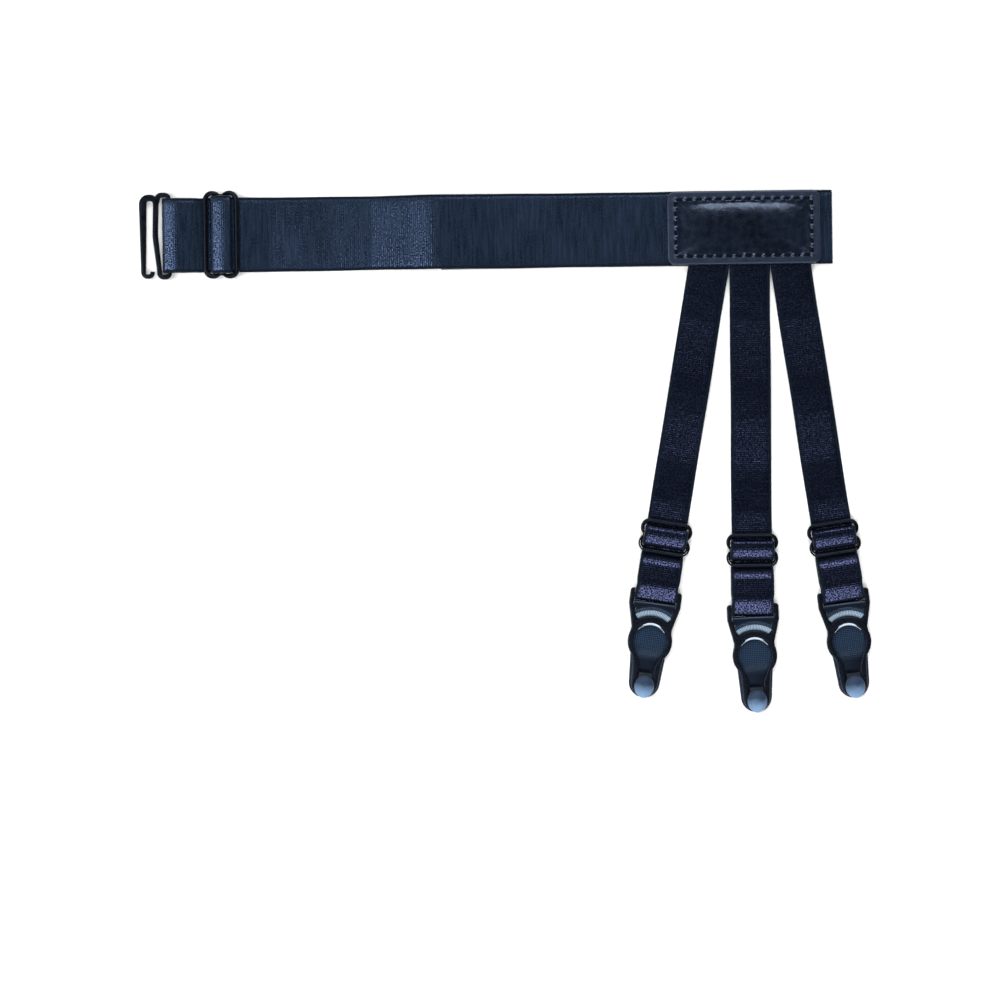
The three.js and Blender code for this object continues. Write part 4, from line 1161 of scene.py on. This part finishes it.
def button_piece():
    """The button: a collar that reaches towards the keyhole, below a domed head."""
    only_select(frame_anchor())
    bpy.ops.mesh.primitive_uv_sphere_add(segments=48, ring_count=24, radius=1)
    head = bpy.context.object
    only_select(head)
    bpy.ops.object.mode_set(mode="EDIT")
    bpy.ops.mesh.select_all(action="SELECT")
    bpy.ops.mesh.bisect(plane_co=(0, 0, 0.001), plane_no=(0, 0, 1), clear_inner=True, use_fill=True)
    bpy.ops.mesh.select_all(action="SELECT")
    radii = (BUTTON_LENGTH / 2, BUTTON_WIDTH / 2, BUTTON_RISE)
    bpy.ops.transform.resize(value=radii, center_override=(0, 0, 0))
    bpy.ops.object.mode_set(mode="OBJECT")
    head.data.transform(Matrix.Translation((0, 0, BUTTON_FOOT)))
    rim = head.modifiers.new("rim", "BEVEL")
    rim.width, rim.segments, rim.limit_method, rim.angle_limit = 0.35, 3, "ANGLE", math.radians(50)
    bpy.ops.object.modifier_apply(modifier="rim")
    bpy.ops.object.shade_smooth_by_angle(angle=math.radians(50))
    edge = arc(0, 0, COLLAR_WIDTH / 2, -90, 90)
    edge += [(-COLLAR_REACH, COLLAR_WIDTH / 2 - 1), (-COLLAR_REACH, 1 - COLLAR_WIDTH / 2)]
    collar = rounded_plate("collar", [edge], 0.8, 0.3, COLLAR_UNDERSIDE + 0.4)
    stem_edge = arc(0, 0, SLOT_WIDTH / 2 - CLEARANCE, 0, 345, 23)
    stem = rounded_plate("stem", [stem_edge], 4.2, 0.2, 2.4)
    made = joined("button", head, collar, stem)
    # The share along the head, which paints a highlight towards its tip
    along = [v.co.x / BUTTON_LENGTH + 0.5 for v in made.data.vertices]
    made.data.attributes.new("tip", "FLOAT", "POINT").data.foreach_set("value", along)
    made.data.transform(Matrix.Translation((BUTTON_AT, 0, 0)))
    return made


# Settings


class StayWebbingSettings(bpy.types.PropertyGroup):
    rib_pitch: FloatProperty(
        name="Rib Pitch", description="Distance between the webbing's ribs", default=0.00105, unit="LENGTH"
    )
    rib_height: FloatProperty(
        name="Rib Height", description="How far the ribs stand out", default=0.00004, unit="LENGTH"
    )
    band_dark: StringProperty(
        name="Band, Dark Yarn", description="Colour of the band between its flecks", default="#0b121b"
    )
    band_light: StringProperty(
        name="Band, Light Yarn", description="Colour of the band's flecks", default="#1c2737"
    )
    strap_dark: StringProperty(
        name="Strap, Dark Yarn", description="Colour of the straps between their flecks", default="#020408"
    )
    strap_light: StringProperty(
        name="Strap, Light Yarn", description="Colour of the straps' flecks", default="#090e17"
    )
    selvedge_colour: StringProperty(
        name="Selvedge", description="Colour of the webbing's woven edges", default="#0f1620"
    )


class StayLeatherSettings(bpy.types.PropertyGroup):
    leather_dark: StringProperty(
        name="Dark Leather", description="Darker tone of the patch", default="#02060f"
    )
    leather_light: StringProperty(
        name="Light Leather", description="Lighter tone of the patch", default="#08121f"
    )
    border_colour: StringProperty(
        name="Border", description="Colour of the patch's rubbed border", default="#101826"
    )
    thread_colour: StringProperty(
        name="Thread", description="Colour of the stitches", default="#020408"
    )
    stitch_width: FloatProperty(
        name="Stitch Width", description="Width of the thread of a stitch", default=0.0018, unit="LENGTH"
    )
    pad_pressure: FloatProperty(
        name="Pad Pressure", description="Pressure that fills the pad", default=3.0, min=0
    )


class StayHardwareSettings(bpy.types.PropertyGroup):
    wire_colour: StringProperty(
        name="Wire Coat", description="Colour of the sliders and the hook", default="#020304"
    )
    frame_colour: StringProperty(
        name="Clip Frame", description="Colour of the clips' frames", default="#07090e"
    )
    tongue_colour: StringProperty(
        name="Clip Tongue", description="Colour of the clips' tongues", default="#0b111b"
    )
    # Painted highlight on the teeth of the clips' tongues
    teeth_highlight_colour: StringProperty(
        name="Teeth", description="Colour of the teeth on the clips' tongues", default="#a5bdd4"
    )
    button_colour: StringProperty(
        name="Button", description="Colour of the clips' buttons", default="#1b2b41"
    )
    # Painted highlight towards the buttons' tips
    tip_highlight_colour: StringProperty(
        name="Button Tip", description="Colour of the buttons at their tips", default="#7d9dc2"
    )


class StayStageSettings(bpy.types.PropertyGroup):
    floor_colour: FloatVectorProperty(
        name="Floor", description="Colour of the backdrop", default=(0.92, 0.92, 0.92), subtype="COLOR"
    )
    front_power: FloatProperty(name="Front", description="Power of the front light", default=25, unit="POWER")
    far_power: FloatProperty(name="Far", description="Power of the far light", default=26, unit="POWER")
    left_power: FloatProperty(name="Left", description="Power of the left light", default=24, unit="POWER")
    camera_height: FloatProperty(
        name="Camera Height", description="Height of the camera", default=1.411, unit="LENGTH"
    )


# Operators


class STAY_OT_thigh_band(bpy.types.Operator):
    """Weaves the thigh band along its folded route"""

    bl_idname = "stay.thigh_band"
    bl_label = "Thigh Band"

    def execute(self, context):
        look = context.scene.stay_webbing
        band, length = webbing(
            "woven_thigh_band", band_rows(), BAND_THICKNESS, band_half_widths, BAND_PLACE, look
        )
        cloth = webbing_material("woven_band_elastic", look, look.band_dark, look.band_light, "#a4c2ff")
        dressed(band, cloth, "webbing", "thigh_band")
        return {"FINISHED"}


class STAY_OT_straps(bpy.types.Operator):
    """Weaves the three straps, each through its slider and clip"""

    bl_idname = "stay.straps"
    bl_label = "Straps"

    def execute(self, context):
        look = context.scene.stay_webbing
        material = webbing_material("woven_strap_elastic", look, look.strap_dark, look.strap_light, "#aab6ff")
        for index, leg in enumerate(LEGS):
            name = "strap_" + leg["side"]
            strap, length = webbing(
                "woven_" + name,
                strap_rows(leg),
                STRAP_THICKNESS,
                strap_half_widths(leg),
                leg_place(index),
                look,
            )
            dressed(strap, material, "webbing", name)
        return {"FINISHED"}


class STAY_OT_patch(bpy.types.Operator):
    """Makes the padded leather patch and its stitching"""

    bl_idname = "stay.patch"
    bl_label = "Patch"

    def execute(self, context):
        look = context.scene.stay_leather
        patch = patch_mesh()
        tidy_shell(patch, 60)
        puff(patch, look)
        dressed(patch, leather_material(look), "patch_leather", "patch")
        stitches = []
        for middle, turn, pitch in stitch_places():
            if not stitches or abs(stitches[-1][1] - pitch) > 0.05:
                base = thread_stitch(pitch * STITCH_SHARE, look.stitch_width / MM)
            else:
                base = stitches[-1][0]
            twin = copy_of(base, "stitch")
            height = PATCH_BORDER_TOP - STITCH_SINK
            twin.data.transform(
                PATCH_PLACE @ Matrix.Translation((middle.x, middle.y, height)) @ Matrix.Rotation(turn, 4, "Z")
            )
            stitches.append((base, pitch, twin))
        for base in {id(row[0]): row[0] for row in stitches}.values():
            bpy.data.objects.remove(base)
        thread = joined("patch_stitching", *[row[2] for row in stitches])
        dressed(thread, thread_material(look), "patch_leather")
        return {"FINISHED"}


class STAY_OT_sliders(bpy.types.Operator):
    """Bends the band's slider and the three strap sliders"""

    bl_idname = "stay.sliders"
    bl_label = "Sliders"

    def execute(self, context):
        material = coated_wire_material(context.scene.stay_hardware)
        place = BAND_PLACE @ Matrix.Translation((BAND_SLIDER_AT, 0, 0))
        wide = slider_piece("wire_band_slider", BAND_SLIDER, BAND_WIDTH, BAND_THICKNESS, place)
        dressed(wide, material, "coated_wire", "band_slider")
        first = slider_piece(
            "wire_slider_left", STRAP_SLIDER, STRAP_WIDTH, STRAP_THICKNESS, Matrix.Identity(4)
        )
        pieces = [first] + [copy_of(first, "wire_slider_" + leg["side"]) for leg in LEGS[1:]]
        for index, (made, leg) in enumerate(zip(pieces, LEGS)):
            settle(made, leg_place(index) @ Matrix.Translation((leg["slider_at"], 0, 0)))
            dressed(made, material, "coated_wire", "slider_" + leg["side"])
        return {"FINISHED"}


class STAY_OT_hook(bpy.types.Operator):
    """Bends the hook at the end of the band"""

    bl_idname = "stay.hook"
    bl_label = "Hook"

    def execute(self, context):
        flange = [HOOK_FLANGE] * 5
        parts = [
            (HOOK_OPEN_PART, [HOOK_TIP, HOOK_TIP, *flange, HOOK_FLANGE * 0.8, HOOK_MIDDLE]),
            (HOOK_MIDDLE_BAR, [HOOK_MIDDLE, HOOK_MIDDLE, HOOK_MIDDLE, HOOK_WIRE]),
            (HOOK_LOOP, [HOOK_MIDDLE, *[HOOK_WIRE] * 7]),
        ]
        height = layer(BAND_THICKNESS, 0) + HOOK_WRAP
        plates = [
            rounded_plate("bar", [ribbon_outline(hook_rows(rows), widths)], HOOK_THICKNESS, HOOK_ROUND, height)
            for rows, widths in parts
        ]
        hook = settle(
            joined("wire_band_hook", *plates), BAND_PLACE @ Matrix.Translation((BAND_HOOK_AT, 0, 0))
        )
        material = bpy.data.materials.get("nylon_coated_wire")
        dressed(
            hook, material or coated_wire_material(context.scene.stay_hardware), "coated_wire", "band_hook"
        )
        return {"FINISHED"}


class STAY_OT_clips(bpy.types.Operator):
    """Moulds the three clips' frames and tongues"""

    bl_idname = "stay.clips"
    bl_label = "Clips"

    def execute(self, context):
        look = context.scene.stay_hardware
        plastic = frame_plastic_material(look)
        plate = rounded_plate("clip_body", frame_outlines(), FRAME_THICKNESS, FRAME_ROUND, FRAME_HEIGHT)
        plate.data.attributes.new("lip_polish_and_highlight", "FLOAT", "POINT")
        body = joined("clip_body", plate, keyhole_lip())
        tongue = tongue_piece()
        for index, leg in enumerate(LEGS):
            side = leg["side"]
            frame_copy = settle(copy_of(body, "moulded_frame_" + side), clip_place(index))
            dressed(frame_copy, plastic, "clip_plastic", "clip_frame_" + side)
            tongue_copy = settle(copy_of(tongue, "moulded_tongue_" + side), clip_place(index))
            dressed(tongue_copy, tongue_plastic_material(look, index), "tongue_plastic", "clip_tongue_" + side)
        bpy.data.objects.remove(body)
        bpy.data.objects.remove(tongue)
        return {"FINISHED"}


class STAY_OT_buttons(bpy.types.Operator):
    """Moulds the three clips' buttons"""

    bl_idname = "stay.buttons"
    bl_label = "Buttons"

    def execute(self, context):
        material = button_material(context.scene.stay_hardware)
        button = button_piece()
        for index, leg in enumerate(LEGS):
            made = settle(copy_of(button, "moulded_button_" + leg["side"]), clip_place(index))
            dressed(made, material, "button_plastic", "clip_button_" + leg["side"])
        bpy.data.objects.remove(button)
        return {"FINISHED"}


def softbox(name, place, target, size, power):
    light = bpy.data.lights.new(name, "AREA")
    light.shape = "RECTANGLE"
    light.size, light.size_y = size
    light.energy = power
    made = bpy.data.objects.new(name, light)
    made.location = place
    made.rotation_euler = (Vector(target) - Vector(place)).to_track_quat("-Z", "Y").to_euler()
    bpy.context.scene.collection.objects.link(made)
    return made


class STAY_OT_stage(bpy.types.Operator):
    """Sets the floor, the lights and the camera"""

    bl_idname = "stay.stage"
    bl_label = "Stage"

    def execute(self, context):
        look = context.scene.stay_stage
        only_select(frame_anchor())
        bpy.ops.mesh.primitive_grid_add(x_subdivisions=4, y_subdivisions=4, size=6, location=(0, 0, -0.0001))
        floor = bpy.context.object
        floor.name = "floor"
        only_select(floor)
        bpy.ops.object.transform_apply(location=True)
        floor.data.materials.append(backdrop_material(look))

        middle = (0.0, -0.02, 0.0)
        softbox("front", (0.1, -1.05, 1.65), middle, (1.4, 0.7), look.front_power)
        softbox("far", (0.18, 1.22, 1.55), middle, (1.2, 0.7), look.far_power)
        softbox("left", (-1.15, 0.0, 1.6), middle, (0.6, 1.2), look.left_power)

        world = bpy.data.worlds.new("studio")
        world.use_nodes = True
        tree = world.node_tree
        tree.nodes.clear()
        sky = add_node(tree, "ShaderNodeTexCoord").outputs["Generated"]
        up = add_node(tree, "ShaderNodeSeparateXYZ", links={"Vector": sky}).outputs["Z"]
        bright = add_node(tree, "ShaderNodeMapRange", {1: 0.15, 2: 0.75, 3: 0.9, 4: 0.02}, {0: up}).outputs[0]
        shine = add_node(tree, "ShaderNodeBackground", {"Color": linear("#fbfbfb")}, {"Strength": bright})
        add_node(tree, "ShaderNodeOutputWorld", links={"Surface": shine.outputs[0]})
        context.scene.world = world
        context.scene.view_settings.view_transform = "Standard"

        lens = bpy.data.cameras.new("camera")
        lens.lens, lens.sensor_width = 100, 36
        camera = bpy.data.objects.new("camera", lens)
        camera.location = (-0.0032, -0.0246, look.camera_height)
        camera.rotation_euler = (0, 0, math.radians(-0.8))
        context.scene.collection.objects.link(camera)
        context.scene.camera = camera
        return {"FINISHED"}


class STAY_PT_panel(bpy.types.Panel):
    """Lists the steps that build the shirt stay"""

    bl_idname = "STAY_PT_panel"
    bl_label = "Shirt Stay"
    bl_space_type = "VIEW_3D"
    bl_region_type = "UI"
    bl_category = "Shirt Stay"

    def draw(self, context):
        for step in STEPS:
            self.layout.operator(step.bl_idname)


SETTINGS = [
    ("stay_webbing", StayWebbingSettings),
    ("stay_leather", StayLeatherSettings),
    ("stay_hardware", StayHardwareSettings),
    ("stay_stage", StayStageSettings),
]
STEPS = [
    STAY_OT_stage,
    STAY_OT_thigh_band,
    STAY_OT_straps,
    STAY_OT_patch,
    STAY_OT_sliders,
    STAY_OT_hook,
    STAY_OT_clips,
    STAY_OT_buttons,
]


def register():
    for name, group in SETTINGS:
        bpy.utils.register_class(group)
        setattr(bpy.types.Scene, name, PointerProperty(type=group))
    for cls in [*STEPS, STAY_PT_panel]:
        bpy.utils.register_class(cls)


def unregister():
    for cls in reversed([*STEPS, STAY_PT_panel]):
        bpy.utils.unregister_class(cls)
    for name, group in reversed(SETTINGS):
        delattr(bpy.types.Scene, name)
        bpy.utils.unregister_class(group)


def main():
    register()
    bpy.ops.stay.stage()
    bpy.ops.stay.thigh_band()
    bpy.ops.stay.straps()
    bpy.ops.stay.patch()
    bpy.ops.stay.sliders()
    bpy.ops.stay.hook()
    bpy.ops.stay.clips()
    bpy.ops.stay.buttons()


if __name__ == "__main__":
    main()
